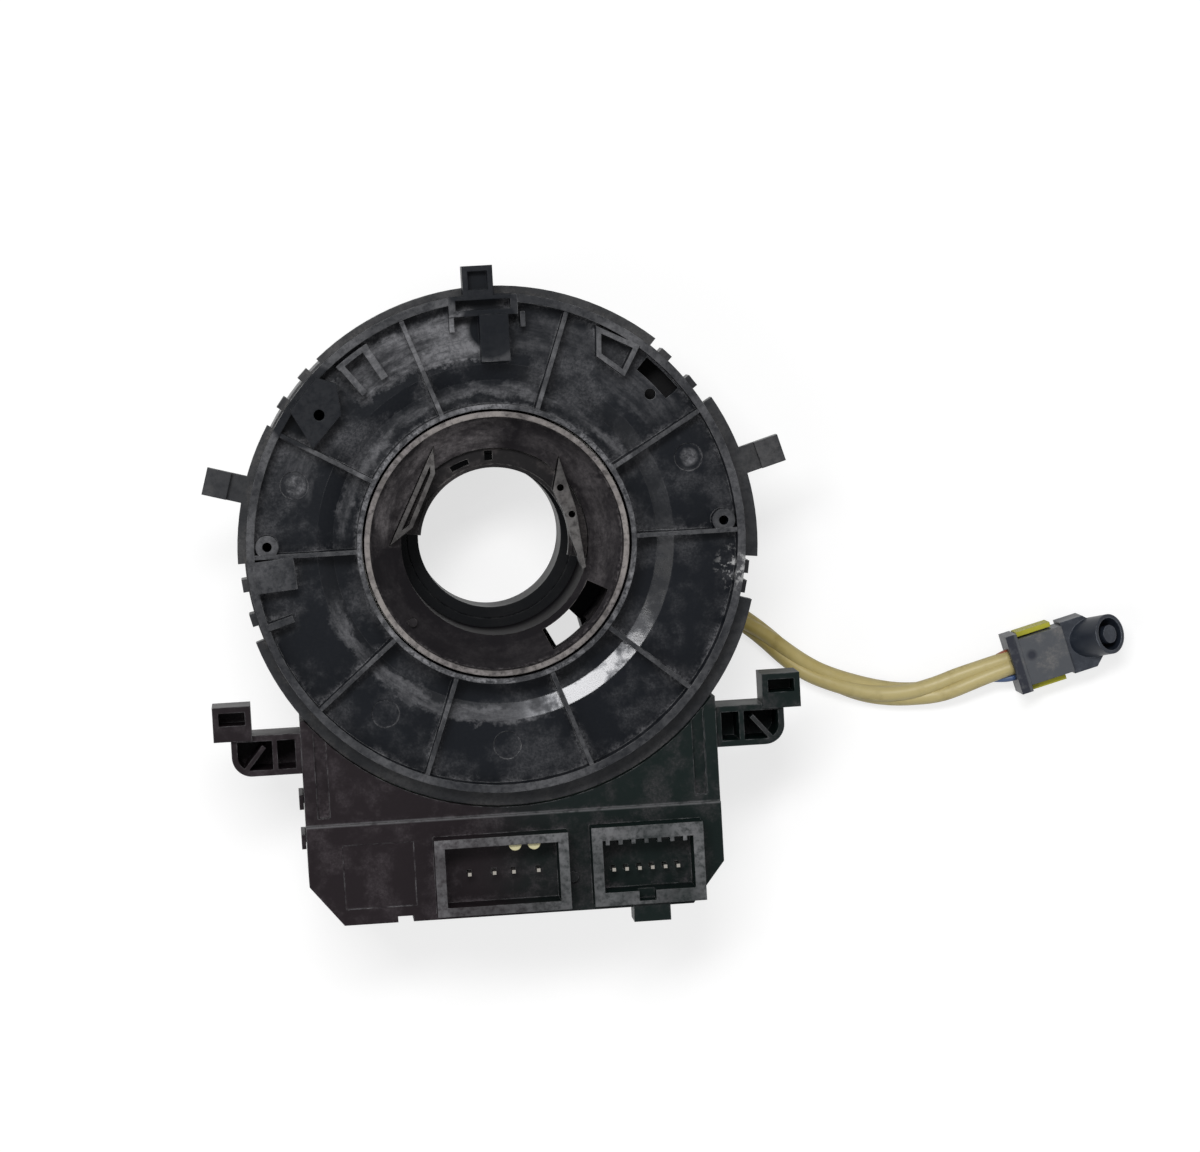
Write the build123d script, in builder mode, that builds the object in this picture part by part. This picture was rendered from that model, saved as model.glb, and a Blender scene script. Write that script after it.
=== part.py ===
from build123d import *
import math
import os

# Steering clock spring, lying on its wheel side. The origin is on the hub bore's axis at the front
# rim of the hub, +Z points from the wheel side to the ribbed column side, and -Y to the connectors.
# Lengths are in millimetres and angles in degrees.

# Driving dimensions of the hub and rotor
BORE_R = 14.75
HUB_WALL = 2.25
HUB_LENGTH = 12.0
DISC_R = 47.4
DISC_THICK = 2.0
SLEEVE_WALL = 1.1
SLEEVE_DROP = 0.4
TUBE_STEP = 2.9
TUBE_WALL = 1.0
DISH_DEPTH = 4.2
DISH_FALL = 4.6
DISH_THICK = 1.4
DISH_EDGE = 0.9
DISH_STUD = (2.3, 220.5, 0.9, 3.4)
# The opening in the dish, and the windows behind its lower end: start and end angles
DISH_OPEN = (295, 334)
SLEEVE_WINDOW = (296, 316)
DISC_WINDOW = (298, 314)
WINDOW_HEIGHT = 12.6
ROTOR_TERMINAL = (203, 234)
# The column key's plate lies under the tube's edge between two angles, its leaves rise through the dish
KEY_SPAN = (-14, 172)
KEY_DROP = 3.0
KEY_THICK = 1.6
KEY_RISE = 3.4
KEY_WALL = 0.9
KEY_POCKET = 2.6
KEY_LIP = (0.7, 0.5)
# Outlines of the leaves: distance outwards from the bore and angle
KEY_LEAVES = (
    ((8.1, 120.0), (3.7, 128.0), (2.2, 166.5), (6.4, 178.0)),
    ((6.5, 50.0), (0.8, 38.8), (0.3, 20.7), (0.8, 356.0), (3.6, 339.5), (4.1, 341.5), (2.8, 20.0)),
)
KEY_HOLES = ((2.3, 37.0), (1.6, 17.0))
KEY_HOLE_R = 0.7
KEY_HOLE_DEPTH = 5.0
KEY_ARC_SLOT = (105, 118, 1.6, 2.7)
KEY_SLOT = (91, 1.7, 3.6, 1.6)

# Driving dimensions of the cable chamber and the sensor drive
CABLE_WIDTH = 13.6
CABLE_THICK = 0.35
CABLE_TURNS = 5
CABLE_GAP = 0.5
CABLE_CLEAR = 1.7
PLATE_THICK = 1.2
GEAR_GAP = 0.5
GEAR_THICK = 3.4
GEAR_WEB = 0.4
GEAR_MODULE = 1.0
DRIVE_TEETH = 58
MEASURING_TEETH = {"a": 18, "b": 20}
MEASURING_ANGLES = {"a": 250.0, "b": 290.0}
MESH_PLAY = 0.18
POST_R = 2.0
MAGNET_R = 3.6
MAGNET_THICK = 1.4
CHIP_SIZE = 3.4
CHIP_HEIGHT = 1.1
CHIP_GAP = 0.6
BOARD_THICK = 1.2
BOARD_ROOM = 1.2
CABLE_END = 262
CABLE_STEPS = 24
# The cable's tail: place across and distance beyond the last turn, then the place of its end
CABLE_TAIL = ((-2.3, 0.5), (-0.2, 2.0))
CABLE_TAIL_END = 0.9
POST_SHOULDER = 1.2
GEAR_RING = 1.3
PRESSURE_ANGLE = 20.0
DEDENDUM = 1.2
ADDENDUM = 0.95
TOOTH_SHARE = 0.46
FLANK_STEPS = 2

# Driving dimensions of the case and its ribbed back cover
CASE_WALL = 1.4
LEDGE = 0.8
DISC_GAP = 0.8
CASE_LIFT = 0.4
CABLE_DOOR = (264, 276)
GEAR_DOOR = (235, 305)
GEAR_DOOR_LINTEL = 1.0
TERMINAL_GAP = 0.8
TERMINAL_BLOCK = (18.0, 7.0)
FLANGE_REACH = 2.0
FLANGE_X = 0.6
FLANGE_Y = -0.9
FLANGE_HEIGHT = 4.0
COVER_WALL = 1.8
RECESS_DROP = 1.8
STEP_IN = 4.6
STEP_OUT = 7.9
RIM_INSET = 0.4
RIM_WALL = 1.6
RIM_HEIGHT = 6.2
COLLAR_WALL = 1.0
COLLAR_RISE = 1.0
RIB_WIDTH = 0.9
RIB_LAP = 0.2
RIB_DROP = 0.6
RIB_ANGLES = (0, 30, 70, 110, 150, 180, 220, 250, 290, 320)
BOSS_INSET = 4.2
BOSS_Y = 2.0
BOSS_R = 2.3
BOSS_HOLE_R = 0.95
TOP_TAB_X = -0.9
TOP_TAB_W = 6.1
TOP_TAB_REACH = 5.6
TAB_ANGLE = 16.0
TAB_WIDTH = 5.5
TAB_REACH = 8.0
LUG_WIDTH = 2.6
LUG_REACH = 1.1
LUG_DROP = 3.0
LUG_ANGLES = (135.5, 143.5, 36.0, 44.5, 186.5, 194.5, 346.5, 351.0)
FLANGE_NOTCHES = ((131, 149.5), (30.5, 48.5), (181.5, 199.5), (344, 353.5))
TOP_TAB_WALL = 1.1
TOP_TAB_DEPTH = 2.0
TAB_THICK = 2.2
TAB_HOOK = (5.0, 1.4)
LAP = 0.8
# Blocks behind the top tab: left, right, depth range from the rim's outer face, rise over the rim
TOP_BLOCKS = (
    (-7.0, 6.8, 4.4, 0.4, 0.6),
    (-1.0, 4.8, 13.6, 4.2, 1.0),
    (-7.0, -6.0, 7.4, 4.2, 0.0),
    (7.2, 8.2, 7.0, 4.0, 0.0),
)
TOP_SPACE = (-5.6, 5.4, 3.2, 1.2)
# Clip walls on the cover: angle, depth range from the rim's outer face, width, rise over the rim
CLIP_WALLS = (
    (128.0, 10.1, 3.0, 1.2, 0.6),
    (120.8, 10.1, 2.6, 1.5, 0.6),
    (184.8, 9.4, 1.4, 6.4, 0.4),
    (196.8, 6.8, 1.2, 1.4, 0.4),
)
CLIP_BACK = (119.8, 129.0, 3.4, 2.3)
CLIP_RISE = 0.6
CLIP_BLOCK_RISE = 1.5
# Clip block and open bracket: corners as the distance in from the rim's outer face and the angle
CLIP_BLOCK = ((1.0, 134.0), (4.8, 131.7), (9.6, 136.9), (8.7, 149.2), (1.0, 144.0))
CLIP_BRACKET = ((2.2, 62.3), (7.6, 58.8), (8.0, 49.4), (1.2, 51.0))
CLIP_WALL = 1.0
COVER_WINDOW = (37.0, 47.5, 5.2, 2.0)
# Round marks in the cover's floor and round holes: distance in from the rim's outer face and angle
COVER_MARKS = ((8.0, 160.8), (7.6, 20.6), (9.1, 233.9), (9.1, 270.0))
MARK_R = 2.8
MARK_DEPTH = 0.3
COVER_HOLES = ((6.2, 140.7), (7.0, 40.6))
COVER_HOLE_R = 1.1

# Driving dimensions of the sensor housing and its sockets. Heights in the box count from its lower
# edge, and places across it from its middle, its side or its socket.
BOX_X = 0.5
BOX_HALF = 41.9
BOX_REACH = 24.8
BOX_DEPTH = 41.6
BOX_CORNER_X = 6.6
BOX_CORNER_Y = 8.2
BOX_WALL = 1.8
BOX_LIFT = 1.8
BOX_COVER_THICK = 1.6
BOX_STEP = 1.0
RIDGE = 20.3
SOCKET_RISE = 7.4
SOCKET_FLOOR = 1.2
AIRBAG_IN = 3.2
AIRBAG_UP = 9.0
AIRBAG_W = 26.9
AIRBAG_H = 15.5
AIRBAG_WALL_X = 2.05
AIRBAG_WALL_Y = 1.8
SIGNAL_IN = 15.7
SIGNAL_UP = 9.3
SIGNAL_W = 22.5
SIGNAL_H = 15.9
SIGNAL_WALL_X = 2.1
SIGNAL_WALL_Y = 2.7
SIGNAL_PIN_SHIFT = (-0.3, -1.2)
SIGNAL_PINS = 6
COMB_RIBS = 7
COMB_WIDTH = 0.8
COMB_REACH = 0.9
PIN_PITCH = 2.6
PIN_SIZE = 0.7
PIN_RECESS = 4.2
WHEEL_PIN_RECESS = 5.0
AIRBAG_PIN_X = (-6.5, -1.5, 2.4, 7.4)
EAR_OUT = 14.0
EAR_UP = 39.2
EAR_DEPTH = 8.2
EAR_DROP = 12.8
EAR_HEIGHT = 13.0
EAR_WALL = 1.2
EAR_FLOOR = 1.6
EAR_ROUND = 4.0
EAR_RIB_OUT = 5.3
EAR_RIB = 1.0
EAR_BRACE = (9.5, 3.4, 6.5, 0.9, 50)
HORN_INNER = 9.7
HORN_OUTER = 17.4
HORN_DEPTH = 6.2
HORN_STEP = 4.0
HORN_FLOOR = 3.0
HORN_WALL = 1.2
HORN_RISE = 1.6
ARM_HEIGHT = 12.0
ARM_WIDTH = 3.0
NUB_WIDTH = 1.8
ARM_THICK = 0.9
SNAP_ARMS_UP = (24.0, 15.9)
SNAP_NUBS_X = (-5.8, 0.8)
LATCH_KEY = (-3.5, 3.9)
LATCH_REACH = 2.3
LATCH_POCKET = (-2.3, 1.1, 2.0, 4.0)
BOX_NOTCH = (17.4, 20.5, 1.2)
GROOVE_OUT = 2.5
GROOVE_IN = 5.0
GROOVE_DEPTH = 1.1
GROOVE_END = 1.5
PANEL_IN = 14.2
PANEL_UP = 9.7
PANEL_SIZE = (14.3, 12.9)
PANEL_DEPTH = 0.25
STUD_OUT = 0.9
STUD_UP = 7.1
STUD_R = 1.1
STUD_HEIGHT = 1.2
BOARD_SHOULDER = 29.2
BOARD_TONGUE = 26.0
BOARD_BOSS_IN = 4.7
BOARD_BOSSES_UP = (25.2, 7.2)
BOARD_BOSS_R = 1.8
CONTROL_CHIP_IN = 23.4
CONTROL_CHIP_UP = 15.2
CONTROL_CHIP_SIZE = (9.0, 1.6)
CODING_CLIPS_X = (2.8, 6.6)
CODING_CLIP_R = 1.3
CODING_CLIP_DROP = 0.6
CABLE_SLOT = 10.0

# Driving dimensions of the wheel side connector, the cord and its plug, along and across the plug
WHEEL_X = -5.0
WHEEL_Y = -36.5
WHEEL_W = 25.0
WHEEL_H = 12.4
WHEEL_WALL = 1.6
WHEEL_PITCH_X = 4.0
WHEEL_PITCH_Y = 3.5
CORD_D = 4.4
CORD_ROUTE = (
    (25.0, -18.2, 4.4),
    (35.2, -15.9, 4.4),
    (46.0, -17.3, 3.5),
    (55.0, -22.9, 2.6),
    (64.2, -31.9, 2.3),
    (71.8, -36.0, 2.24),
    (81.0, -38.9, 2.24),
    (91.0, -39.1, 2.9),
    (100.0, -36.4, 4.8),
    (108.6, -34.2, 4.8),
)
GRIP_LENGTH = 7.0
GRIP_WIDTH = 10.4
GRIP_BASE = 1.2
PLUG_HALF = 5.0
PLUG_FLANGE = 1.3
PLUG_HEIGHT = 9.0
PLUG_BACK = 2.4
PLUG_LENGTH = 12.0
PLUG_LIFT = 1.5
BACK_RISE = 0.3
HEAD_LENGTH = 7.0
HEAD_WIDER = 0.6
HEAD_DROP = 0.8
HEAD_CHAMFER = 2.0
BARREL_FACE = (20.9, 0.6, 12.0)
BARREL_WALL = 0.8
BARREL_R = 4.2
BARREL_LENGTH = 8.4
BARREL_LEAN = 37.0
BARREL_DEPTH = 5.5
BARREL_CORE_R = 1.9
LOCK_TRAVEL = 1.5
LOCK_BAR = (3.4, 7.0)
LOCK_BOTTOM = 0.4
LOCK_THICK = 0.7
LOCK_HEIGHT = 6.6

# Clearances
RUNNING = 0.5
SLIDING = 0.3
PIN_FIT = 0.2
SNUG = 0.1

# Levels that follow, from the wheel side up
disc_top = HUB_LENGTH + DISC_THICK
case_front = HUB_LENGTH + CASE_LIFT
box_floor = disc_top + BOX_LIFT
cable_bottom = disc_top + CABLE_GAP
plate_bottom = cable_bottom + CABLE_WIDTH + CABLE_GAP
plate_top = plate_bottom + PLATE_THICK
gear_bottom = plate_top + GEAR_GAP
gear_top = gear_bottom + GEAR_THICK
board_bottom = gear_top + CHIP_GAP + CHIP_HEIGHT
board_top = board_bottom + BOARD_THICK
cover_seat = board_top + BOARD_ROOM
floor_top = cover_seat + COVER_WALL
recess_top = floor_top - RECESS_DROP
rim_top = cover_seat + RIM_HEIGHT
collar_top = rim_top + COLLAR_RISE
sleeve_top = collar_top - SLEEVE_DROP
socket_top = floor_top + SOCKET_RISE
socket_floor = cover_seat + SOCKET_FLOOR
flange_bottom = cover_seat - FLANGE_HEIGHT
ear_base = cover_seat - EAR_DROP
dish_edge_top = sleeve_top - DISH_DEPTH
tube_top = dish_edge_top - DISH_FALL
key_level = tube_top - KEY_DROP

# Radii that follow, from the hub out
hub_out = BORE_R + HUB_WALL
tube_r = hub_out + TUBE_STEP
tube_in = tube_r - TUBE_WALL
key_bore = BORE_R + PIN_FIT
sleeve_r = (DRIVE_TEETH / 2 - DEDENDUM) * GEAR_MODULE - GEAR_RING
sleeve_in = sleeve_r - SLEEVE_WALL
collar_in = sleeve_r + RUNNING
collar_out = collar_in + COLLAR_WALL
step_in_r = collar_out + STEP_IN
step_out_r = collar_out + STEP_OUT
ledge_in = DISC_R + DISC_GAP
case_in = ledge_in + LEDGE
case_out = case_in + CASE_WALL
rim_r = case_out - RIM_INSET
rim_in = rim_r - RIM_WALL
flange_r = case_out + FLANGE_REACH
terminal_face = case_out + TERMINAL_GAP

# Places in the box that follow
box_left = BOX_X - BOX_HALF
box_right = BOX_X + BOX_HALF
box_bottom = -case_out - BOX_REACH
box_top = box_bottom + BOX_DEPTH
ridge_y = box_bottom + RIDGE
airbag = (BOX_X - AIRBAG_IN, box_bottom + AIRBAG_UP)
signal = (box_right - SIGNAL_IN, box_bottom + SIGNAL_UP)
signal_pin_row = (signal[0] + SIGNAL_PIN_SHIFT[0], signal[1] + SIGNAL_PIN_SHIFT[1])
airbag_pin_places = [(airbag[0] + x, airbag[1]) for x in AIRBAG_PIN_X]


def radial_plane(angle):
    """A standing plane through the axis, its x pointing outwards at the angle."""
    a = math.radians(angle)
    across = (math.sin(a), -math.cos(a), 0)
    return Plane(origin=(0, 0, 0), x_dir=(math.cos(a), math.sin(a), 0), z_dir=across)


def polar(radius, angle):
    """The point at a radius and an angle about the axis."""
    return radius * math.cos(math.radians(angle)), radius * math.sin(math.radians(angle))


def inwards(depth, angle):
    """The point at a distance in from the rim's outer face."""
    return polar(rim_r - depth, angle)


def ring(bottom, top, outer, inner, mode=Mode.ADD):
    """A flat ring or, with no inner radius, a disc, between two heights."""
    with BuildSketch(Plane.XY.offset(bottom)) as outline:
        Circle(outer)
        if inner > 0:
            Circle(inner, mode=Mode.SUBTRACT)
    extrude(outline.sketch, amount=top - bottom, mode=mode)


def block(x0, x1, y0, y1, z0, z1, mode=Mode.ADD, plane=Plane.XY):
    """A box between two corners, in a plane's own directions."""
    with BuildSketch(plane.offset(z0)) as outline:
        with Locations(((x0 + x1) / 2, (y0 + y1) / 2)):
            Rectangle(x1 - x0, y1 - y0)
    extrude(outline.sketch, amount=z1 - z0, mode=mode)


def radial_block(angle, r0, r1, width, z0, z1, mode=Mode.ADD):
    """A box that points outwards at an angle, between two radii."""
    plane = Plane(origin=(0, 0, 0), x_dir=(*polar(1, angle), 0), z_dir=(0, 0, 1))
    block(r0, r1, -width / 2, width / 2, z0, z1, mode, plane)


def centred_block(centre, width, depth, bottom, top, mode=Mode.ADD, plane=Plane.XY):
    """A box around a centre point, between two heights."""
    x, y = centre
    block(x - width / 2, x + width / 2, y - depth / 2, y + depth / 2, bottom, top, mode, plane)


def sector(start, end, inner, outer, bottom, top, mode=Mode.ADD):
    """A piece of a ring between two angles."""
    middle = (start + end) / 2
    with BuildSketch(Plane.XY.offset(bottom)) as outline:
        with BuildLine():
            ThreePointArc(polar(inner, start), polar(inner, middle), polar(inner, end))
            Line(polar(inner, end), polar(outer, end))
            ThreePointArc(polar(outer, end), polar(outer, middle), polar(outer, start))
            Line(polar(outer, start), polar(inner, start))
        make_face()
    extrude(outline.sketch, amount=top - bottom, mode=mode)


def finish(builder, label):
    """Names a finished piece and writes it."""
    builder.part.label = label
    export_step(builder.part, f"parts/{label}.step")


def tooth_points(teeth, module, steps, thickness):
    """Half of one involute tooth as radius and half angle, from the root to the tip."""
    pitch_r = teeth * module / 2
    base_r = pitch_r * math.cos(math.radians(PRESSURE_ANGLE))
    root_r = pitch_r - DEDENDUM * module
    tip_r = pitch_r + ADDENDUM * module
    half_pitch = math.degrees(thickness / pitch_r / 2)

    def roll(radius):
        slope = math.acos(min(1.0, base_r / radius))
        return math.degrees(math.tan(slope) - slope)

    start_r = max(base_r, root_r)
    points = [(root_r, half_pitch + roll(pitch_r) - roll(start_r))]
    for step in range(1, steps + 1):
        radius = start_r + (tip_r - start_r) * step / steps
        points.append((radius, half_pitch + roll(pitch_r) - roll(radius)))
    return points


def gear_outline(teeth, module, steps, phase):
    """The closed outline of a spur gear with a tooth centred at the phase angle."""
    flank = tooth_points(teeth, module, steps, TOOTH_SHARE * math.pi * module)
    corners = []
    for tooth in range(teeth):
        centre = phase + 360 * tooth / teeth
        corners += [polar(radius, centre - half) for radius, half in flank]
        corners += [polar(radius, centre + half) for radius, half in reversed(flank)]
    return corners


os.makedirs("parts", exist_ok=True)

# Hub tube: the bore's wall, from the wheel side up to the disc's upper face
with BuildPart() as hub_tube:
    ring(0, disc_top, hub_out, BORE_R)
finish(hub_tube, "hub_tube")

# Rotor disc around the hub tube, with its window and the holes of the wheel side pins
with BuildPart() as rotor_disc:
    ring(HUB_LENGTH, disc_top, DISC_R, hub_out + SNUG)
    sector(*DISC_WINDOW, tube_r + LAP, sleeve_r + SLEEVE_WALL, HUB_LENGTH, disc_top, Mode.SUBTRACT)
    with BuildSketch(Plane.XY.offset(HUB_LENGTH)) as wheel_pin_holes:
        with Locations((WHEEL_X, WHEEL_Y)):
            with GridLocations(WHEEL_PITCH_X, WHEEL_PITCH_Y, 5, 2):
                Rectangle(PIN_SIZE + 2 * SNUG, PIN_SIZE + 2 * SNUG)
    extrude(wheel_pin_holes.sketch, amount=DISC_THICK, mode=Mode.SUBTRACT)
finish(rotor_disc, "rotor_disc")

# Wheel side shroud under the disc, around the pins
wheel_centre = (WHEEL_X, WHEEL_Y)
wheel_space = (WHEEL_W - 2 * WHEEL_WALL, WHEEL_H - 2 * WHEEL_WALL)
with BuildPart() as wheel_shroud:
    centred_block(wheel_centre, WHEEL_W, WHEEL_H, 0, HUB_LENGTH)
    centred_block(wheel_centre, *wheel_space, 0, HUB_LENGTH, Mode.SUBTRACT)
finish(wheel_shroud, "wheel_shroud")

# Wheel side pins, standing through the disc into the shroud
with BuildPart() as wheel_pins:
    with BuildSketch(Plane.XY.offset(WHEEL_PIN_RECESS)):
        with Locations((WHEEL_X, WHEEL_Y)):
            with GridLocations(WHEEL_PITCH_X, WHEEL_PITCH_Y, 5, 2):
                Rectangle(PIN_SIZE, PIN_SIZE)
    extrude(amount=disc_top - WHEEL_PIN_RECESS)
finish(wheel_pins, "wheel_pins")

# Rear sleeve: the wall inside the collar, the sloping dish and the inner tube
key_leaves = [[polar(BORE_R + out, angle) for out, angle in leaf] for leaf in KEY_LEAVES]
with BuildPart() as rear_sleeve:
    with BuildSketch(Plane.XZ):
        with BuildLine():
            Polyline(
                (sleeve_in, disc_top),
                (sleeve_r, disc_top),
                (sleeve_r, sleeve_top),
                (sleeve_in, sleeve_top),
                (sleeve_in, dish_edge_top),
                (tube_in, tube_top),
                (tube_in, disc_top),
                (tube_r, disc_top),
                (tube_r, tube_top - DISH_THICK),
                (sleeve_in, dish_edge_top - DISH_THICK),
                close=True,
            )
        make_face()
    revolve(axis=Axis.Z)
    stud_out, stud_angle, stud_r, stud_drop = DISH_STUD
    with BuildSketch(Plane.XY.offset(dish_edge_top - stud_drop)) as dish_stud:
        with Locations(polar(sleeve_in - stud_out, stud_angle)):
            Circle(stud_r)
    extrude(dish_stud.sketch, amount=stud_drop - SNUG)
    dish_out = sleeve_in - DISH_EDGE
    sector(*DISH_OPEN, tube_r + SLIDING, dish_out, disc_top + LAP, sleeve_top, Mode.SUBTRACT)
    window_top = disc_top + WINDOW_HEIGHT
    sector(*SLEEVE_WINDOW, tube_r + SLIDING, sleeve_r + LAP, disc_top, window_top, Mode.SUBTRACT)
    for leaf in key_leaves:
        with BuildSketch(Plane.XY.offset(key_level - SNUG)) as leaf_space:
            Polygon(*leaf, align=None)
            offset(amount=SNUG, kind=Kind.INTERSECTION)
        extrude(leaf_space.sketch, amount=sleeve_top - key_level, mode=Mode.SUBTRACT)
finish(rear_sleeve, "rear_sleeve")

# Column key: a half moon plate inside the tube with a raised lip, slots and two upright leaves
key_top = tube_top + KEY_RISE
plate_level = key_level + KEY_THICK
with BuildPart() as column_key:
    sector(*KEY_SPAN, key_bore, tube_in - SNUG, key_level, plate_level)
    sector(*KEY_SPAN, key_bore, key_bore + KEY_LIP[0], key_level, plate_level + KEY_LIP[1])
    slot_start, slot_end, slot_in, slot_out = KEY_ARC_SLOT
    slot_in += BORE_R
    slot_out += BORE_R
    sector(slot_start, slot_end, slot_in, slot_out, key_level, plate_level, Mode.SUBTRACT)
    slot_angle, slot_in, slot_out, slot_width = KEY_SLOT
    slot_in += BORE_R
    slot_out += BORE_R
    radial_block(slot_angle, slot_in, slot_out, slot_width, key_level, plate_level, Mode.SUBTRACT)
    for leaf in key_leaves:
        with BuildSketch(Plane.XY.offset(key_level)) as leaf_outline:
            Polygon(*leaf, align=None)
        extrude(leaf_outline.sketch, amount=key_top - key_level)
    with BuildSketch(Plane.XY.offset(key_top - KEY_POCKET)) as leaf_pocket:
        Polygon(*key_leaves[0], align=None)
        offset(amount=-KEY_WALL, kind=Kind.INTERSECTION)
    extrude(leaf_pocket.sketch, amount=KEY_POCKET, mode=Mode.SUBTRACT)
    with BuildSketch(Plane.XY.offset(key_top - KEY_HOLE_DEPTH)) as key_holes:
        with Locations(*[polar(BORE_R + out, angle) for out, angle in KEY_HOLES]):
            Circle(KEY_HOLE_R)
    extrude(key_holes.sketch, amount=KEY_HOLE_DEPTH, mode=Mode.SUBTRACT)
    ring(key_level, key_top, key_bore, 0, Mode.SUBTRACT)
finish(column_key, "column_key")

# Rotor terminal block, where the cable's inner end meets the wheel side leads
with BuildPart() as rotor_terminal_block:
    sector(*ROTOR_TERMINAL, tube_r + SLIDING, sleeve_in - SLIDING, disc_top, disc_top + CABLE_WIDTH)
finish(rotor_terminal_block, "rotor_terminal_block")

# Drive gear: a toothed ring pressed on the sleeve
with BuildPart() as drive_gear:
    with BuildSketch(Plane.XY.offset(gear_bottom)):
        Polygon(*gear_outline(DRIVE_TEETH, GEAR_MODULE, FLANK_STEPS, MEASURING_ANGLES["a"]), align=None)
        Circle(sleeve_r + SNUG, mode=Mode.SUBTRACT)
    extrude(amount=GEAR_THICK)
finish(drive_gear, "drive_gear")

# Measuring gears: each meshes with the drive gear and carries a magnet under a sensor chip
drive_pitch = 360 / DRIVE_TEETH
gear_centres = {}
for name, teeth in MEASURING_TEETH.items():
    angle = MEASURING_ANGLES[name]
    distance = (DRIVE_TEETH + teeth) * GEAR_MODULE / 2 + MESH_PLAY
    gear_centres[name] = polar(distance, angle)
    turned = angle - MEASURING_ANGLES["a"]
    lead = round(turned / drive_pitch) * drive_pitch - turned
    phase = angle + 180 - lead * DRIVE_TEETH / teeth + 180 / teeth
    centre = (*gear_centres[name], gear_bottom)
    with BuildPart() as measuring_gear:
        with BuildSketch(Plane(origin=centre)):
            Polygon(*gear_outline(teeth, GEAR_MODULE, FLANK_STEPS, phase), align=None)
        extrude(amount=GEAR_THICK)
        with BuildSketch(Plane(origin=centre)) as post_bore:
            Circle(POST_R + PIN_FIT)
        extrude(post_bore.sketch, amount=GEAR_THICK - MAGNET_THICK - GEAR_WEB, mode=Mode.SUBTRACT)
        with BuildSketch(Plane(origin=centre).offset(GEAR_THICK - MAGNET_THICK)) as magnet_pocket:
            Circle(MAGNET_R + SNUG)
        extrude(magnet_pocket.sketch, amount=MAGNET_THICK, mode=Mode.SUBTRACT)
    finish(measuring_gear, f"measuring_gear_{name}")
    with BuildPart() as magnet:
        with BuildSketch(Plane(origin=centre).offset(GEAR_THICK - MAGNET_THICK)):
            Circle(MAGNET_R)
        extrude(amount=MAGNET_THICK)
    finish(magnet, f"magnet_{name}")

# Partition plate between the cable chamber and the gears, with the gears' posts
with BuildPart() as partition_plate:
    ring(plate_bottom, plate_top, case_in - SNUG, sleeve_r + RUNNING)
    for centre in gear_centres.values():
        with BuildSketch(Plane.XY.offset(plate_top)) as shoulder:
            with Locations(centre):
                Circle(POST_R + POST_SHOULDER)
        extrude(shoulder.sketch, amount=GEAR_GAP - PIN_FIT)
        with BuildSketch(Plane.XY.offset(plate_top)) as post:
            with Locations(centre):
                Circle(POST_R)
        extrude(post.sketch, amount=GEAR_GAP + GEAR_THICK - MAGNET_THICK - GEAR_WEB - PIN_FIT)
finish(partition_plate, "partition_plate")


def cable_line():
    """The cable's middle line: an even spiral, then a short tail out through the case."""
    inner = sleeve_r + CABLE_CLEAR
    outer = ledge_in - CABLE_CLEAR
    turn = (outer - inner) / CABLE_TURNS
    start_angle = CABLE_END - 360 * CABLE_TURNS
    count = CABLE_STEPS * CABLE_TURNS
    points = []
    for step in range(count + 1):
        angle = start_angle + 360 * CABLE_TURNS * step / count
        points.append(polar(inner + turn * (angle - start_angle) / 360, angle))
    points += [(across, -outer - beyond) for across, beyond in CABLE_TAIL]
    points.append((CABLE_TAIL_END, -terminal_face + SLIDING))
    return points


def ribbon(points, thickness):
    """The outline of a strip of even thickness along a line of points."""
    left = []
    right = []
    for index, point in enumerate(points):
        before = points[max(index - 1, 0)]
        after = points[min(index + 1, len(points) - 1)]
        length = math.dist(before, after)
        side_x = -(after[1] - before[1]) / length * thickness / 2
        side_y = (after[0] - before[0]) / length * thickness / 2
        left.append((point[0] + side_x, point[1] + side_y))
        right.append((point[0] - side_x, point[1] - side_y))
    return left + right[::-1]


# Flat cable, wound in the chamber between the sleeve and the case
with BuildPart() as flat_cable:
    with BuildSketch(Plane.XY.offset(cable_bottom)):
        Polygon(*ribbon(cable_line(), CABLE_THICK), align=None)
    extrude(amount=CABLE_WIDTH)
finish(flat_cable, "flat_cable")

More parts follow.
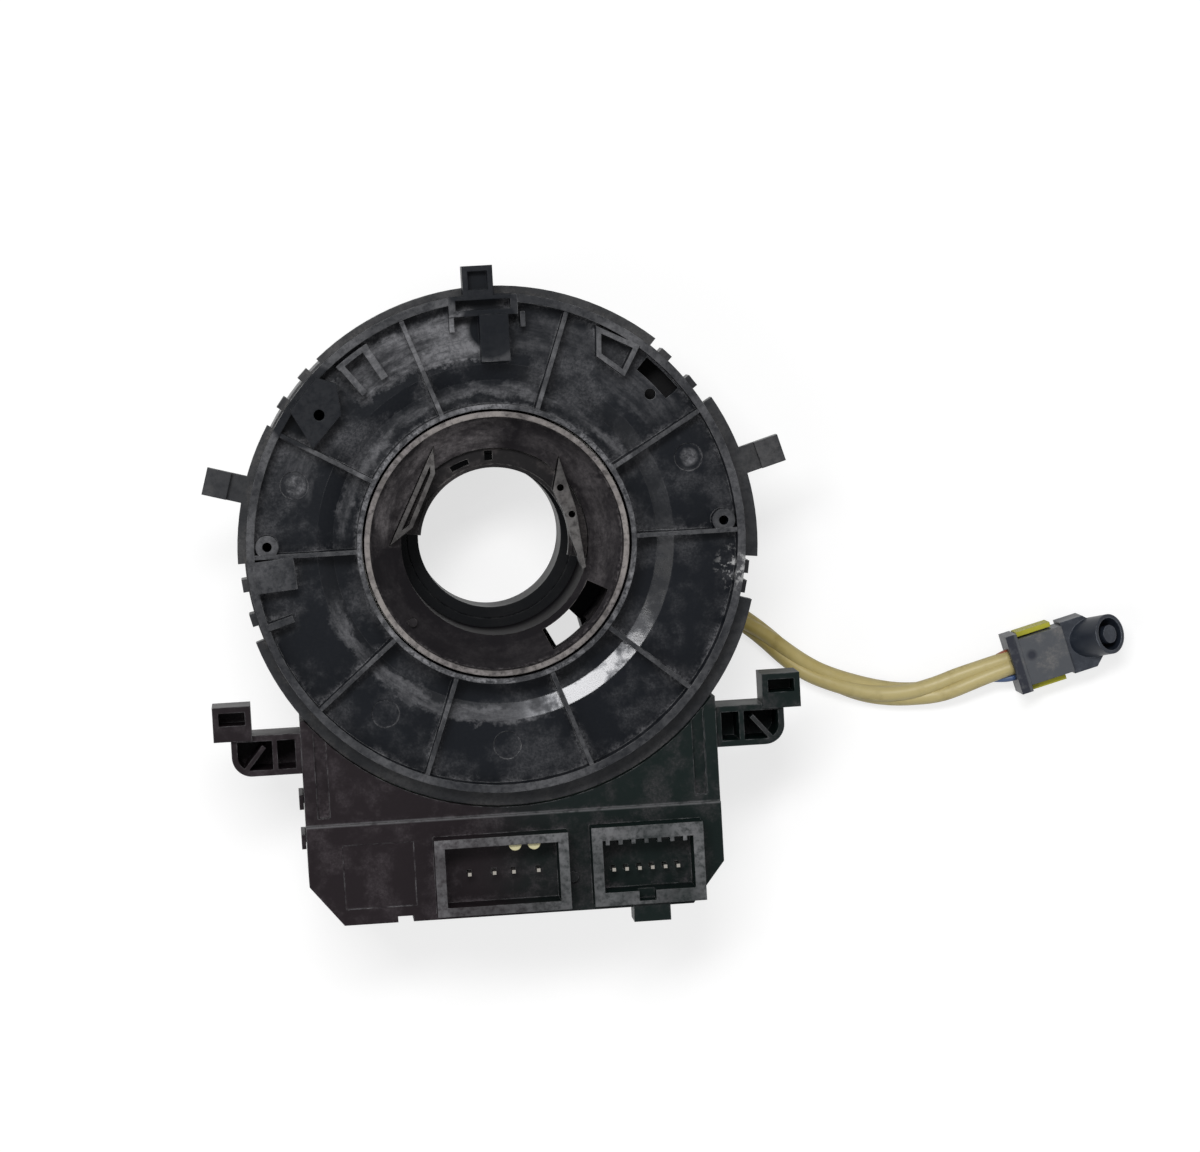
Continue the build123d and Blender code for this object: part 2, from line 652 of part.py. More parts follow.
# Outer case: the chamber's wall with its ledge, the notched flange and the side tabs
with BuildPart() as outer_case:
    ring(case_front, cover_seat, case_out, case_in)
    ring(case_front, plate_bottom, case_in + SNUG, ledge_in)
    with BuildSketch(Plane.XY.offset(flange_bottom)) as flange:
        with Locations((FLANGE_X, FLANGE_Y)):
            Circle(flange_r)
        Circle(case_out - SNUG, mode=Mode.SUBTRACT)
    extrude(flange.sketch, amount=FLANGE_HEIGHT)
    beyond = flange_r + 2 * FLANGE_REACH
    for start, end in FLANGE_NOTCHES:
        sector(start, end, case_out, beyond, flange_bottom, cover_seat, Mode.SUBTRACT)
    lug_bottom = flange_bottom - LUG_DROP
    for angle in LUG_ANGLES:
        radial_block(angle, case_out - LAP, case_out + LUG_REACH, LUG_WIDTH, lug_bottom, cover_seat)
    for side in (1, -1):
        direction = (side * math.cos(math.radians(TAB_ANGLE)), math.sin(math.radians(TAB_ANGLE)), 0)
        tab_plane = Plane(origin=(FLANGE_X, FLANGE_Y, 0), x_dir=direction, z_dir=(0, 0, 1))
        tab_half = TAB_WIDTH / 2
        tab_low = cover_seat - TAB_THICK
        tab_tip = flange_r + TAB_REACH
        block(flange_r - LAP, tab_tip, -tab_half, tab_half, tab_low, cover_seat, plane=tab_plane)
        hook_in = tab_tip - TAB_HOOK[0]
        hook_top = cover_seat + TAB_HOOK[1]
        block(hook_in, tab_tip, -tab_half, tab_half, cover_seat, hook_top, plane=tab_plane)
    sector(*GEAR_DOOR, ledge_in, beyond, plate_top, cover_seat - GEAR_DOOR_LINTEL, Mode.SUBTRACT)
    door_low = cable_bottom - SLIDING
    door_high = plate_bottom - SLIDING
    sector(*CABLE_DOOR, ledge_in - LAP, case_out + LAP, door_low, door_high, Mode.SUBTRACT)
finish(outer_case, "outer_case")

# Back cover: ribbed ring with its stepped floor, collar, rim, bosses, tab and clip blocks
boss_half = rim_r - BOSS_INSET
clip_low = floor_top - LAP
with BuildPart() as back_cover:
    with BuildSketch(Plane.XZ):
        with BuildLine():
            Polyline(
                (collar_in, cover_seat - RECESS_DROP),
                (step_in_r, cover_seat - RECESS_DROP),
                (step_out_r, cover_seat),
                (rim_r, cover_seat),
                (rim_r, rim_top),
                (rim_in, rim_top),
                (rim_in, floor_top),
                (step_out_r, floor_top),
                (step_in_r, recess_top),
                (collar_out, recess_top),
                (collar_out, collar_top),
                (collar_in, collar_top),
                close=True,
            )
        make_face()
    revolve(axis=Axis.Z)
    with BuildSketch(Plane.XY.offset(floor_top)) as marks:
        with Locations(*[inwards(depth, angle) for depth, angle in COVER_MARKS]):
            Circle(MARK_R)
    extrude(marks.sketch, amount=-MARK_DEPTH, mode=Mode.SUBTRACT)
    for angle in RIB_ANGLES:
        with BuildSketch(radial_plane(angle)) as rib:
            with BuildLine():
                Polyline(
                    (collar_out - RIB_LAP, recess_top - LAP),
                    (step_in_r, recess_top - LAP),
                    (step_out_r, floor_top - LAP),
                    (rim_in + RIB_LAP, floor_top - LAP),
                    (rim_in + RIB_LAP, rim_top - RIB_DROP),
                    (collar_out - RIB_LAP, collar_top - RIB_DROP),
                    close=True,
                )
            make_face()
        extrude(rib.sketch, amount=RIB_WIDTH / 2, both=True)
    boss_places = [(side * boss_half, BOSS_Y) for side in (-1, 1)]
    with BuildSketch(Plane.XY.offset(clip_low)) as bosses:
        with Locations(*boss_places):
            Circle(BOSS_R)
    extrude(bosses.sketch, amount=rim_top - floor_top)
    for angle, deep, shallow, width, rise in CLIP_WALLS:
        radial_block(angle, rim_r - deep, rim_r - shallow, width, clip_low, rim_top + rise)
    back_start, back_end, deep, shallow = CLIP_BACK
    sector(back_start, back_end, rim_r - deep, rim_r - shallow, clip_low, rim_top + CLIP_RISE)
    with BuildSketch(Plane.XY.offset(clip_low)) as clip_block:
        Polygon(*[inwards(depth, angle) for depth, angle in CLIP_BLOCK], align=None)
    extrude(clip_block.sketch, amount=rim_top + CLIP_BLOCK_RISE - clip_low)
    with BuildSketch(Plane.XY.offset(clip_low)) as clip_bracket:
        Polygon(*[inwards(depth, angle) for depth, angle in CLIP_BRACKET], align=None)
        offset(amount=-CLIP_WALL, kind=Kind.INTERSECTION, mode=Mode.SUBTRACT)
    extrude(clip_bracket.sketch, amount=rim_top + CLIP_RISE - clip_low)
    window_start, window_end, deep, shallow = COVER_WINDOW
    window_radii = (rim_r - deep, rim_r - shallow)
    sector(window_start, window_end, *window_radii, cover_seat, floor_top, Mode.SUBTRACT)
    with BuildSketch(Plane.XY.offset(cover_seat)) as cover_holes:
        with Locations(*[inwards(depth, angle) for depth, angle in COVER_HOLES]):
            Circle(COVER_HOLE_R)
        with Locations(*boss_places):
            Circle(BOSS_HOLE_R)
    extrude(cover_holes.sketch, amount=rim_top + CLIP_BLOCK_RISE - cover_seat, mode=Mode.SUBTRACT)
    tab_left = TOP_TAB_X - TOP_TAB_W / 2
    tab_right = TOP_TAB_X + TOP_TAB_W / 2
    tab_end = rim_r + TOP_TAB_REACH
    tab_space = (tab_left + TOP_TAB_WALL, tab_right - TOP_TAB_WALL, rim_r + LAP, tab_end - TOP_TAB_WALL)
    block(tab_left, tab_right, rim_in, tab_end, cover_seat, rim_top + CLIP_RISE)
    block(*tab_space, rim_top - TOP_TAB_DEPTH, rim_top + CLIP_RISE, Mode.SUBTRACT)
    for left, right, deep, shallow, rise in TOP_BLOCKS:
        block(left, right, rim_r - deep, rim_r - shallow, clip_low, rim_top + rise)
    left, right, deep, shallow = TOP_SPACE
    space_top = rim_top + CLIP_RISE
    block(left, right, rim_r - deep, rim_r - shallow, floor_top + LAP, space_top, Mode.SUBTRACT)
finish(back_cover, "back_cover")

# Sensor housing: the connector box with its ears, its two sockets and the board's bosses
corner_y = box_bottom + BOX_CORNER_Y
box_outline = (
    (box_left, box_top),
    (box_left, corner_y),
    (box_left + BOX_CORNER_X, box_bottom),
    (box_right - BOX_CORNER_X, box_bottom),
    (box_right, corner_y),
    (box_right, box_top),
)
step_top = floor_top + BOX_STEP
ear_y = box_bottom + EAR_UP - EAR_DEPTH / 2
horn_bottom = ear_base + HORN_STEP
horn_top = ear_base + EAR_HEIGHT + HORN_RISE
horn_low = box_bottom + EAR_UP - LAP
horn_high = box_bottom + EAR_UP + HORN_DEPTH
with BuildPart() as sensor_housing:
    with BuildSketch(Plane.XY.offset(box_floor)) as box_body:
        Polygon(*box_outline, align=None)
    extrude(box_body.sketch, amount=floor_top - box_floor)
    with BuildSketch(Plane.XY.offset(floor_top)) as lower_step:
        Polygon(*box_outline, align=None)
        with Locations((BOX_X, ridge_y + BOX_DEPTH / 2)):
            Rectangle(2 * BOX_HALF, BOX_DEPTH, mode=Mode.SUBTRACT)
    extrude(lower_step.sketch, amount=BOX_STEP)
    with BuildSketch(Plane.XY.offset(box_floor)) as box_space:
        Polygon(*box_outline, align=None)
        offset(amount=-BOX_WALL, kind=Kind.INTERSECTION)
        with Locations((BOX_X, box_top)):
            Rectangle(2 * (BOX_HALF - BOX_WALL), 4 * BOX_WALL)
    extrude(box_space.sketch, amount=cover_seat - box_floor, mode=Mode.SUBTRACT)
    for side in (-1, 1):
        outer_corner = -1 if side > 0 else 0
        side_x = BOX_X + side * BOX_HALF
        with BuildSketch(Plane.XY.offset(ear_base)) as ear_arm:
            with Locations((side_x + side * (EAR_OUT - LAP) / 2, ear_y)):
                Rectangle(EAR_OUT + LAP, EAR_DEPTH)
            fillet(ear_arm.vertices().group_by(Axis.Y)[0].sort_by(Axis.X)[outer_corner], EAR_ROUND)
        extrude(ear_arm.sketch, amount=EAR_HEIGHT)
        brace_out, brace_up, brace_length, brace_width, brace_angle = EAR_BRACE
        brace = Location((side_x + side * brace_out, ear_y - EAR_DEPTH / 2 + brace_up), -side * brace_angle)
        ear_inner_r = EAR_ROUND - EAR_WALL
        with BuildSketch(Plane.XY.offset(ear_base + EAR_FLOOR)) as ear_space:
            with Locations((side_x + side * EAR_OUT / 2, ear_y)):
                Rectangle(EAR_OUT - 2 * EAR_WALL, EAR_DEPTH - 2 * EAR_WALL)
            fillet(ear_space.vertices().group_by(Axis.Y)[0].sort_by(Axis.X)[outer_corner], ear_inner_r)
            with Locations((side_x + side * EAR_RIB_OUT, ear_y)):
                Rectangle(EAR_RIB, EAR_DEPTH, mode=Mode.SUBTRACT)
            with Locations(brace):
                Rectangle(brace_length, brace_width, mode=Mode.SUBTRACT)
        extrude(ear_space.sketch, amount=EAR_HEIGHT, mode=Mode.SUBTRACT)
        horn_x = sorted((side_x + side * HORN_INNER, side_x + side * HORN_OUTER))
        block(*horn_x, horn_low, horn_high, horn_bottom, horn_top)
        space_x = (horn_x[0] + HORN_WALL, horn_x[1] - HORN_WALL)
        space_y = (horn_low + LAP + 2 * HORN_WALL, horn_high - HORN_WALL)
        block(*space_x, *space_y, horn_bottom + HORN_FLOOR, horn_top, Mode.SUBTRACT)
        groove_x = sorted((side_x - side * GROOVE_OUT, side_x - side * GROOVE_IN))
        block(*groove_x, ridge_y + GROOVE_END, box_top, floor_top - GROOVE_DEPTH, floor_top, Mode.SUBTRACT)
        with BuildSketch(Plane.XY.offset(board_top)) as board_bosses:
            with Locations(*[(side_x - side * BOARD_BOSS_IN, box_bottom + up) for up in BOARD_BOSSES_UP]):
                Circle(BOARD_BOSS_R)
        extrude(board_bosses.sketch, amount=cover_seat - board_top + SNUG)
    sockets = (
        (airbag, AIRBAG_W, AIRBAG_H, AIRBAG_WALL_X, AIRBAG_WALL_Y),
        (signal, SIGNAL_W, SIGNAL_H, SIGNAL_WALL_X, SIGNAL_WALL_Y),
    )
    for socket_centre, width, depth, wall_x, wall_y in sockets:
        centred_block(socket_centre, width, depth, floor_top, socket_top)
    key_left, key_right = (signal[0] + x for x in LATCH_KEY)
    key_back = signal[1] - SIGNAL_H / 2 + SNUG
    block(key_left, key_right, box_bottom - LATCH_REACH, key_back, step_top - LATCH_REACH, socket_top - 1)
    notch_start, notch_end, notch_up = BOX_NOTCH
    notch_x = (box_left + notch_start, box_left + notch_end)
    block(*notch_x, box_bottom, box_bottom + notch_up, box_floor, step_top, Mode.SUBTRACT)
    panel_centre = (box_left + PANEL_IN, box_bottom + PANEL_UP)
    centred_block(panel_centre, *PANEL_SIZE, step_top - PANEL_DEPTH, step_top, Mode.SUBTRACT)
    with BuildSketch(Plane.XY.offset(floor_top)) as stud:
        with Locations((airbag[0] + AIRBAG_W / 2 + STUD_OUT, box_bottom + STUD_UP)):
            Circle(STUD_R)
    extrude(stud.sketch, amount=BOX_STEP + STUD_HEIGHT)
    for socket_centre, width, depth, wall_x, wall_y in sockets:
        space = (width - 2 * wall_x, depth - 2 * wall_y)
        centred_block(socket_centre, *space, socket_floor, socket_top, Mode.SUBTRACT)
    comb_top = signal[1] + SIGNAL_H / 2 - SIGNAL_WALL_Y
    comb_y = (comb_top - COMB_REACH, comb_top + SNUG)
    for index in range(COMB_RIBS):
        comb_x = signal_pin_row[0] + (index - (COMB_RIBS - 1) / 2) * PIN_PITCH
        block(comb_x - COMB_WIDTH / 2, comb_x + COMB_WIDTH / 2, *comb_y, socket_floor, socket_top)
    pocket_left, pocket_right, pocket_reach, pocket_drop = LATCH_POCKET
    pocket_x = (signal[0] + pocket_left, signal[0] + pocket_right)
    pocket_face = signal[1] - SIGNAL_H / 2 + SIGNAL_WALL_Y
    pocket_y = (pocket_face - pocket_reach, pocket_face)
    block(*pocket_x, *pocket_y, socket_top - pocket_drop, socket_top, Mode.SUBTRACT)
    with BuildSketch(Plane.XY.offset(cover_seat)) as pin_holes:
        with Locations(*airbag_pin_places):
            Rectangle(PIN_SIZE + 2 * SNUG, PIN_SIZE + 2 * SNUG)
        with Locations(signal_pin_row):
            with GridLocations(PIN_PITCH, 0, SIGNAL_PINS, 1):
                Rectangle(PIN_SIZE + 2 * SNUG, PIN_SIZE + 2 * SNUG)
    extrude(pin_holes.sketch, amount=SOCKET_FLOOR, mode=Mode.SUBTRACT)
    ring(box_floor, cover_seat, case_out + SNUG, 0, Mode.SUBTRACT)
    with BuildSketch(Plane.XY.offset(flange_bottom - SNUG)) as flange_space:
        with Locations((FLANGE_X, FLANGE_Y)):
            Circle(flange_r + SNUG)
    extrude(flange_space.sketch, amount=2 * FLANGE_HEIGHT, mode=Mode.SUBTRACT)
finish(sensor_housing, "sensor_housing")

# Front cover of the sensor housing, held by snap arms over its walls
arm_bottom = box_floor - BOX_COVER_THICK
arm_top = box_floor + ARM_HEIGHT
with BuildPart() as sensor_front_cover:
    with BuildSketch(Plane.XY.offset(arm_bottom)):
        Polygon(*box_outline, align=None)
        Circle(case_out + SNUG, mode=Mode.SUBTRACT)
        with Locations((0, -case_out)):
            Rectangle(CABLE_SLOT, 2 * (terminal_face - case_out), mode=Mode.SUBTRACT)
    extrude(amount=BOX_COVER_THICK)
    for side in (-1, 1):
        for arm_up in SNAP_ARMS_UP:
            wall_x = BOX_X + side * BOX_HALF
            arm_y = (box_bottom + arm_up - ARM_WIDTH / 2, box_bottom + arm_up + ARM_WIDTH / 2)
            foot_x = sorted((wall_x - side * LAP, wall_x + side * (SNUG + ARM_THICK)))
            block(*foot_x, *arm_y, arm_bottom, box_floor)
            arm_x = sorted((wall_x + side * SNUG, wall_x + side * (SNUG + ARM_THICK)))
            block(*arm_x, *arm_y, box_floor, arm_top)
    nub_low = box_bottom - SNUG - ARM_THICK
    for nub_x in SNAP_NUBS_X:
        nub_left = BOX_X + nub_x - NUB_WIDTH / 2
        nub_right = BOX_X + nub_x + NUB_WIDTH / 2
        block(nub_left, nub_right, nub_low, box_bottom + LAP, arm_bottom, box_floor)
        block(nub_left, nub_right, nub_low, box_bottom - SNUG, box_floor, arm_top)
finish(sensor_front_cover, "sensor_front_cover")

# Circuit board, reaching under the back cover over the measuring gears
board_left = box_left + BOX_WALL + SLIDING
board_right = box_right - BOX_WALL - SLIDING
board_low = box_bottom + BOX_WALL + SLIDING
board_corner = corner_y + 2 * SLIDING
shoulder_y = box_bottom + BOARD_SHOULDER
tongue_y = -step_out_r / 2
with BuildPart() as circuit_board:
    with BuildSketch(Plane.XY.offset(board_bottom)):
        Polygon(
            (board_left, shoulder_y),
            (board_left, board_corner),
            (board_left + BOX_CORNER_X, board_low),
            (board_right - BOX_CORNER_X, board_low),
            (board_right, board_corner),
            (board_right, shoulder_y),
            (BOARD_TONGUE, shoulder_y),
            (BOARD_TONGUE, tongue_y),
            (-BOARD_TONGUE, tongue_y),
            (-BOARD_TONGUE, shoulder_y),
            align=None,
        )
        Circle(step_out_r + RUNNING, mode=Mode.SUBTRACT)
    extrude(amount=BOARD_THICK)
finish(circuit_board, "circuit_board")

# Chips under the board: one over each magnet and the controller
with BuildPart() as angle_sensor_chips:
    with BuildSketch(Plane.XY.offset(board_bottom - CHIP_HEIGHT)):
        with Locations(*gear_centres.values()):
            Rectangle(CHIP_SIZE, CHIP_SIZE)
    extrude(amount=CHIP_HEIGHT)
finish(angle_sensor_chips, "angle_sensor_chips")

with BuildPart() as control_chip:
    with BuildSketch(Plane.XY.offset(board_bottom - CONTROL_CHIP_SIZE[1])):
        with Locations((box_left + CONTROL_CHIP_IN, box_bottom + CONTROL_CHIP_UP)):
            Rectangle(CONTROL_CHIP_SIZE[0], CONTROL_CHIP_SIZE[0])
    extrude(amount=CONTROL_CHIP_SIZE[1])
finish(control_chip, "control_chip")

# Pins of the two sockets, standing on the board
with BuildPart() as airbag_pins:
    with BuildSketch(Plane.XY.offset(board_top)):
        with Locations(*airbag_pin_places):
            Rectangle(PIN_SIZE, PIN_SIZE)
    extrude(amount=socket_top - PIN_RECESS - board_top)
finish(airbag_pins, "airbag_pins")

with BuildPart() as signal_pins:
    with BuildSketch(Plane.XY.offset(board_top)):
        with Locations(signal_pin_row):
            with GridLocations(PIN_PITCH, 0, SIGNAL_PINS, 1):
                Rectangle(PIN_SIZE, PIN_SIZE)
    extrude(amount=socket_top - PIN_RECESS - board_top)
finish(signal_pins, "signal_pins")

# Coding clips: two pale half round keys against the airbag socket's upper wall
airbag_inner_top = airbag[1] + AIRBAG_H / 2 - AIRBAG_WALL_Y
with BuildPart() as coding_clips:
    with BuildSketch(Plane.XY.offset(socket_floor)):
        with Locations(*[(airbag[0] + x, airbag_inner_top) for x in CODING_CLIPS_X]):
            Circle(CODING_CLIP_R)
        with Locations((airbag[0], airbag_inner_top + 2 * CODING_CLIP_R)):
            Rectangle(AIRBAG_W, 4 * CODING_CLIP_R, mode=Mode.SUBTRACT)
    extrude(amount=SOCKET_RISE - CODING_CLIP_DROP)
finish(coding_clips, "coding_clips")

# Terminal block at the cable door, standing on the front cover
with BuildPart() as stator_terminal_block:
    half_block = TERMINAL_BLOCK[0] / 2
    block_low = -terminal_face - TERMINAL_BLOCK[1]
    block(-half_block, half_block, block_low, -terminal_face, box_floor, plate_bottom)
finish(stator_terminal_block, "stator_terminal_block")

# Cord grip under the disc, its end face square to the cord's first run
route = [Vector(*point) for point in CORD_ROUTE]
lead_out = (route[1] - route[0]).normalized()
grip_plane = Plane(origin=(route[0].X, route[0].Y, 0), x_dir=lead_out, z_dir=(0, 0, 1))
with BuildPart() as cord_grip:
    with BuildSketch(grip_plane.offset(GRIP_BASE)):
        with Locations((-GRIP_LENGTH / 2, 0)):
            RectangleRounded(GRIP_LENGTH, GRIP_WIDTH, 0.8)
    extrude(amount=HUB_LENGTH - GRIP_BASE)
finish(cord_grip, "cord_grip")

# Cord: straight runs joined by tangent arcs
radii = []
for before, corner, after in zip(route, route[1:], route[2:]):
    shorter = min((corner - before).length, (after - corner).length)
    turn = (corner - before).get_angle(after - corner)
    radii.append(0.45 * shorter / math.tan(math.radians(turn / 2)))
print("cord radii", [round(radius, 1) for radius in radii], "diameter", CORD_D)
with BuildPart() as airbag_cord:
    with BuildLine() as cord_path:
        FilletPolyline(*route, radius=radii)
    with BuildSketch(Plane(origin=route[0], z_dir=lead_out)):
        Circle(CORD_D / 2)
    sweep(path=cord_path.line)
cord_length = cord_path.wires()[0].length
print("cord length", round(cord_length, 2), "volume over section times length",
      round(airbag_cord.part.volume / (math.pi * CORD_D**2 / 4 * cord_length), 5))
finish(airbag_cord, "airbag_cord")

# Plug, lying in line with the cord's last run
run_in = (route[-1] - route[-2]).normalized()
plug_plane = Plane(origin=(route[-1].X, route[-1].Y, 0), x_dir=(run_in.X, run_in.Y, 0), z_dir=(0, 0, 1))
flange_half = PLUG_HALF + PLUG_FLANGE
with BuildPart() as plug_body:
    with BuildSketch(plug_plane):
        with Locations((PLUG_BACK / 2, 0)):
            Rectangle(PLUG_BACK, 2 * flange_half)
    extrude(amount=PLUG_HEIGHT + BACK_RISE)
    block(PLUG_BACK, PLUG_LENGTH, -PLUG_HALF, PLUG_HALF, PLUG_LIFT, PLUG_HEIGHT, plane=plug_plane)
finish(plug_body, "plug_body")

# Plug head: the front block with its leaning barrel, open around a core
lean = math.radians(BARREL_LEAN)
face_centre = plug_plane.from_local_coords(Vector(*BARREL_FACE))
barrel_axis = run_in * math.sin(lean) + Vector(0, 0, math.cos(lean))
barrel_plane = Plane(origin=face_centre - barrel_axis * BARREL_LENGTH, z_dir=barrel_axis)
with BuildPart() as plug_head:
    with BuildSketch(plug_plane) as head_block:
        with Locations((PLUG_LENGTH + HEAD_LENGTH / 2, 0)):
            Rectangle(HEAD_LENGTH, 2 * (PLUG_HALF + HEAD_WIDER))
        chamfer(head_block.vertices().sort_by(SortBy.DISTANCE)[-2:], HEAD_CHAMFER)
    extrude(head_block.sketch, amount=PLUG_HEIGHT - HEAD_DROP)
    with BuildSketch(barrel_plane) as barrel:
        Circle(BARREL_R)
    extrude(barrel.sketch, amount=BARREL_LENGTH)
    with BuildSketch(barrel_plane.offset(BARREL_LENGTH - BARREL_DEPTH)) as barrel_space:
        Circle(BARREL_R - BARREL_WALL)
        Circle(BARREL_CORE_R, mode=Mode.SUBTRACT)
    extrude(barrel_space.sketch, amount=BARREL_DEPTH, mode=Mode.SUBTRACT)
finish(plug_head, "plug_head")

# Plug lock: a yellow slide with a rail on each side of the plug
rail_in = PLUG_HALF + SLIDING
rail_start = PLUG_BACK + SLIDING
rail_end = PLUG_LENGTH - LOCK_TRAVEL - SLIDING
bar_top = LOCK_BOTTOM + LOCK_THICK
with BuildPart() as plug_lock:
    block(*LOCK_BAR, -flange_half, flange_half, LOCK_BOTTOM, bar_top, plane=plug_plane)
    for side in (-1, 1):
        rail = sorted((side * rail_in, side * flange_half))
        block(rail_start, rail_end, *rail, LOCK_BOTTOM, LOCK_HEIGHT, plane=plug_plane)
finish(plug_lock, "plug_lock")
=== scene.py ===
"""Steering clock spring: finishes, cord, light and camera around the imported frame.

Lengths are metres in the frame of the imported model, +Z towards the ribbed column side.
"""

import logging
import math
from dataclasses import dataclass, field
from enum import Enum
from typing import ClassVar, Iterable, Optional, Sequence

import bpy
import numpy as np
from mathutils import Matrix, Vector

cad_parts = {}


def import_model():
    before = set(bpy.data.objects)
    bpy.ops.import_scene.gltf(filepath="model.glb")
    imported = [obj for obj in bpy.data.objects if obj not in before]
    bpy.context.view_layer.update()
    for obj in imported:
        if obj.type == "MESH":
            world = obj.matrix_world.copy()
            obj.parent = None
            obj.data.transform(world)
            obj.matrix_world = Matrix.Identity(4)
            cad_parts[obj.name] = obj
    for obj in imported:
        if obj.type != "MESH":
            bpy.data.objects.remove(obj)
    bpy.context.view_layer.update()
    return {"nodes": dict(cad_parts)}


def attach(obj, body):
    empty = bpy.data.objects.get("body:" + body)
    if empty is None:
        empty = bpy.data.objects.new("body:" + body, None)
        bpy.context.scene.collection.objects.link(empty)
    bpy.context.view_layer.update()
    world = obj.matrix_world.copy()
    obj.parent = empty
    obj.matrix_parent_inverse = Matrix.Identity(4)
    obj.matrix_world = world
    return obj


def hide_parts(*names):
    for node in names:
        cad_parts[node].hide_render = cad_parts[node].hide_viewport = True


LOG = logging.getLogger("clock_spring")
Colour = tuple[float, float, float]
Point = tuple[float, float, float]
Spot = tuple[Point, float]
Band = tuple[Point, Point]
Socket = bpy.types.NodeSocket


class Gloss(Enum):
    """How far a moulded surface scatters light, as a roughness."""

    MATT = 0.58
    SATIN = 0.42
    SEMI = 0.34
    POLISHED = 0.27


class Body(Enum):
    """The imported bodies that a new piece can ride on."""

    CASE = "case"
    ROTOR = "rotor"


# Node graphs


class Graph:
    """A thin typed helper around one shader node tree."""

    def __init__(self, tree: bpy.types.NodeTree) -> None:
        """Keeps the tree that nodes are added to."""
        self.tree = tree
        self._place: Optional[Socket] = None

    def add(self, kind: str, values: Optional[dict] = None, **settings: object) -> bpy.types.Node:
        """Adds a node.

        Args:
            kind: The node's type name.
            values: Input socket name or index to a plain value or an output socket.
            **settings: Properties of the node itself.

        Returns:
            The new node.
        """
        node = self.tree.nodes.new(kind)
        for name, value in settings.items():
            setattr(node, name, value)
        for name, value in (values or {}).items():
            self.put(node.inputs[name], value)
        return node

    def put(self, socket: Socket, value: object) -> None:
        """Links an output socket into an input, or sets the input's own value.

        Args:
            socket: The input to fill.
            value: A socket, a plain value, or None to leave it.
        """
        if isinstance(value, Socket):
            self.tree.links.new(value, socket)
        elif value is not None:
            socket.default_value = value

    @property
    def place(self) -> Socket:
        """The shaded point in the object's own metres.

        Returns:
            The Object output of one shared Texture Coordinate node.
        """
        if self._place is None:
            self._place = self.add("ShaderNodeTexCoord").outputs["Object"]
        return self._place

    def math(self, operation: str, a: object, b: object = None, clamp: bool = False) -> Socket:
        """Adds a Math node and returns its result."""
        node = self.add("ShaderNodeMath", {0: a, 1: b}, operation=operation, use_clamp=clamp)
        return node.outputs[0]

    def product(self, *values: object, clamp: bool = False) -> Socket:
        """Multiplies values in their order, and holds the last result in 0 to 1 where asked.

        Args:
            values: Two or more sockets or numbers.
            clamp: Whether the last product is held in 0 to 1.

        Returns:
            The product.
        """
        result = values[0]
        for value in values[1:-1]:
            result = self.math("MULTIPLY", result, value)
        return self.math("MULTIPLY", result, values[-1], clamp)

    def spare(self, mask: object, cover: object, share: float = 1.0) -> Socket:
        """Lowers a mask where another covers it: mask times (1 - share times cover)."""
        return self.product(mask, self.math("SUBTRACT", 1.0, self.product(cover, share)))

    def most(self, masks: Sequence[Socket]) -> Socket:
        """The largest of several masks.

        Args:
            masks: The masks to compare, one or more.

        Returns:
            The largest value.
        """
        result = masks[0]
        for mask in masks[1:]:
            result = self.math("MAXIMUM", result, mask)
        return result

    def between(self, value: object, start: object, end: object, border: object) -> Socket:
        """1 where a value lies between two ends, with borders of a given width.

        Args:
            value: What is measured.
            start: The lower end.
            end: The upper end.
            border: Width over which the mask rises inside each end.

        Returns:
            A mask from 0 to 1.
        """
        rise = self.math("DIVIDE", self.math("SUBTRACT", value, start), border, True)
        fall = self.math("DIVIDE", self.math("SUBTRACT", end, value), border, True)
        return self.product(rise, fall)

    def vector(self, operation: str, a: object, b: object = None) -> Socket:
        """Adds a Vector Math node and returns its vector, or its number where it makes one."""
        output = "Value" if operation in ("LENGTH", "DISTANCE", "DOT_PRODUCT") else "Vector"
        return self.add("ShaderNodeVectorMath", {0: a, 1: b}, operation=operation).outputs[output]

    def split(self, vector: object) -> bpy.types.bpy_prop_collection:
        """Splits a vector into X, Y and Z."""
        return self.add("ShaderNodeSeparateXYZ", {0: vector}).outputs

    def radius(self) -> Socket:
        """The shaded point's distance from the axis."""
        return self.vector("LENGTH", self.vector("MULTIPLY", self.place, (1.0, 1.0, 0.0)))

    def ramp(self, value: object, low: float, high: float) -> Socket:
        """Maps low to high smoothly onto 0 to 1, held at both ends.

        Args:
            value: What is measured.
            low: The value that gives 0.
            high: The value that gives 1.

        Returns:
            A mask from 0 to 1.
        """
        ends = {"Value": value, "From Min": low, "From Max": high}
        node = self.add("ShaderNodeMapRange", ends, interpolation_type="SMOOTHSTEP", clamp=True)
        return node.outputs["Result"]

    def noise(
        self, scale: object, detail: float = 3.0, rough: float = 0.55, at: object = None
    ) -> Socket:
        """Adds a Noise Texture, at the shaded point unless told otherwise.

        Args:
            scale: How many cells there are in a metre.
            detail: How many finer layers are added.
            rough: How strong the finer layers are.
            at: Where to read the noise, or None for the shaded point.

        Returns:
            The noise, from 0 to 1.
        """
        where = self.place if at is None else at
        values = {"Vector": where, "Scale": scale, "Detail": detail, "Roughness": rough}
        return self.add("ShaderNodeTexNoise", values).outputs["Fac"]

    def patches(
        self, scale: object, detail: float, rough: float, low: float, high: float, at: object = None
    ) -> Socket:
        """Noise stretched to a mask: 0 up to low, 1 from high on."""
        return self.ramp(self.noise(scale, detail, rough, at), low, high)

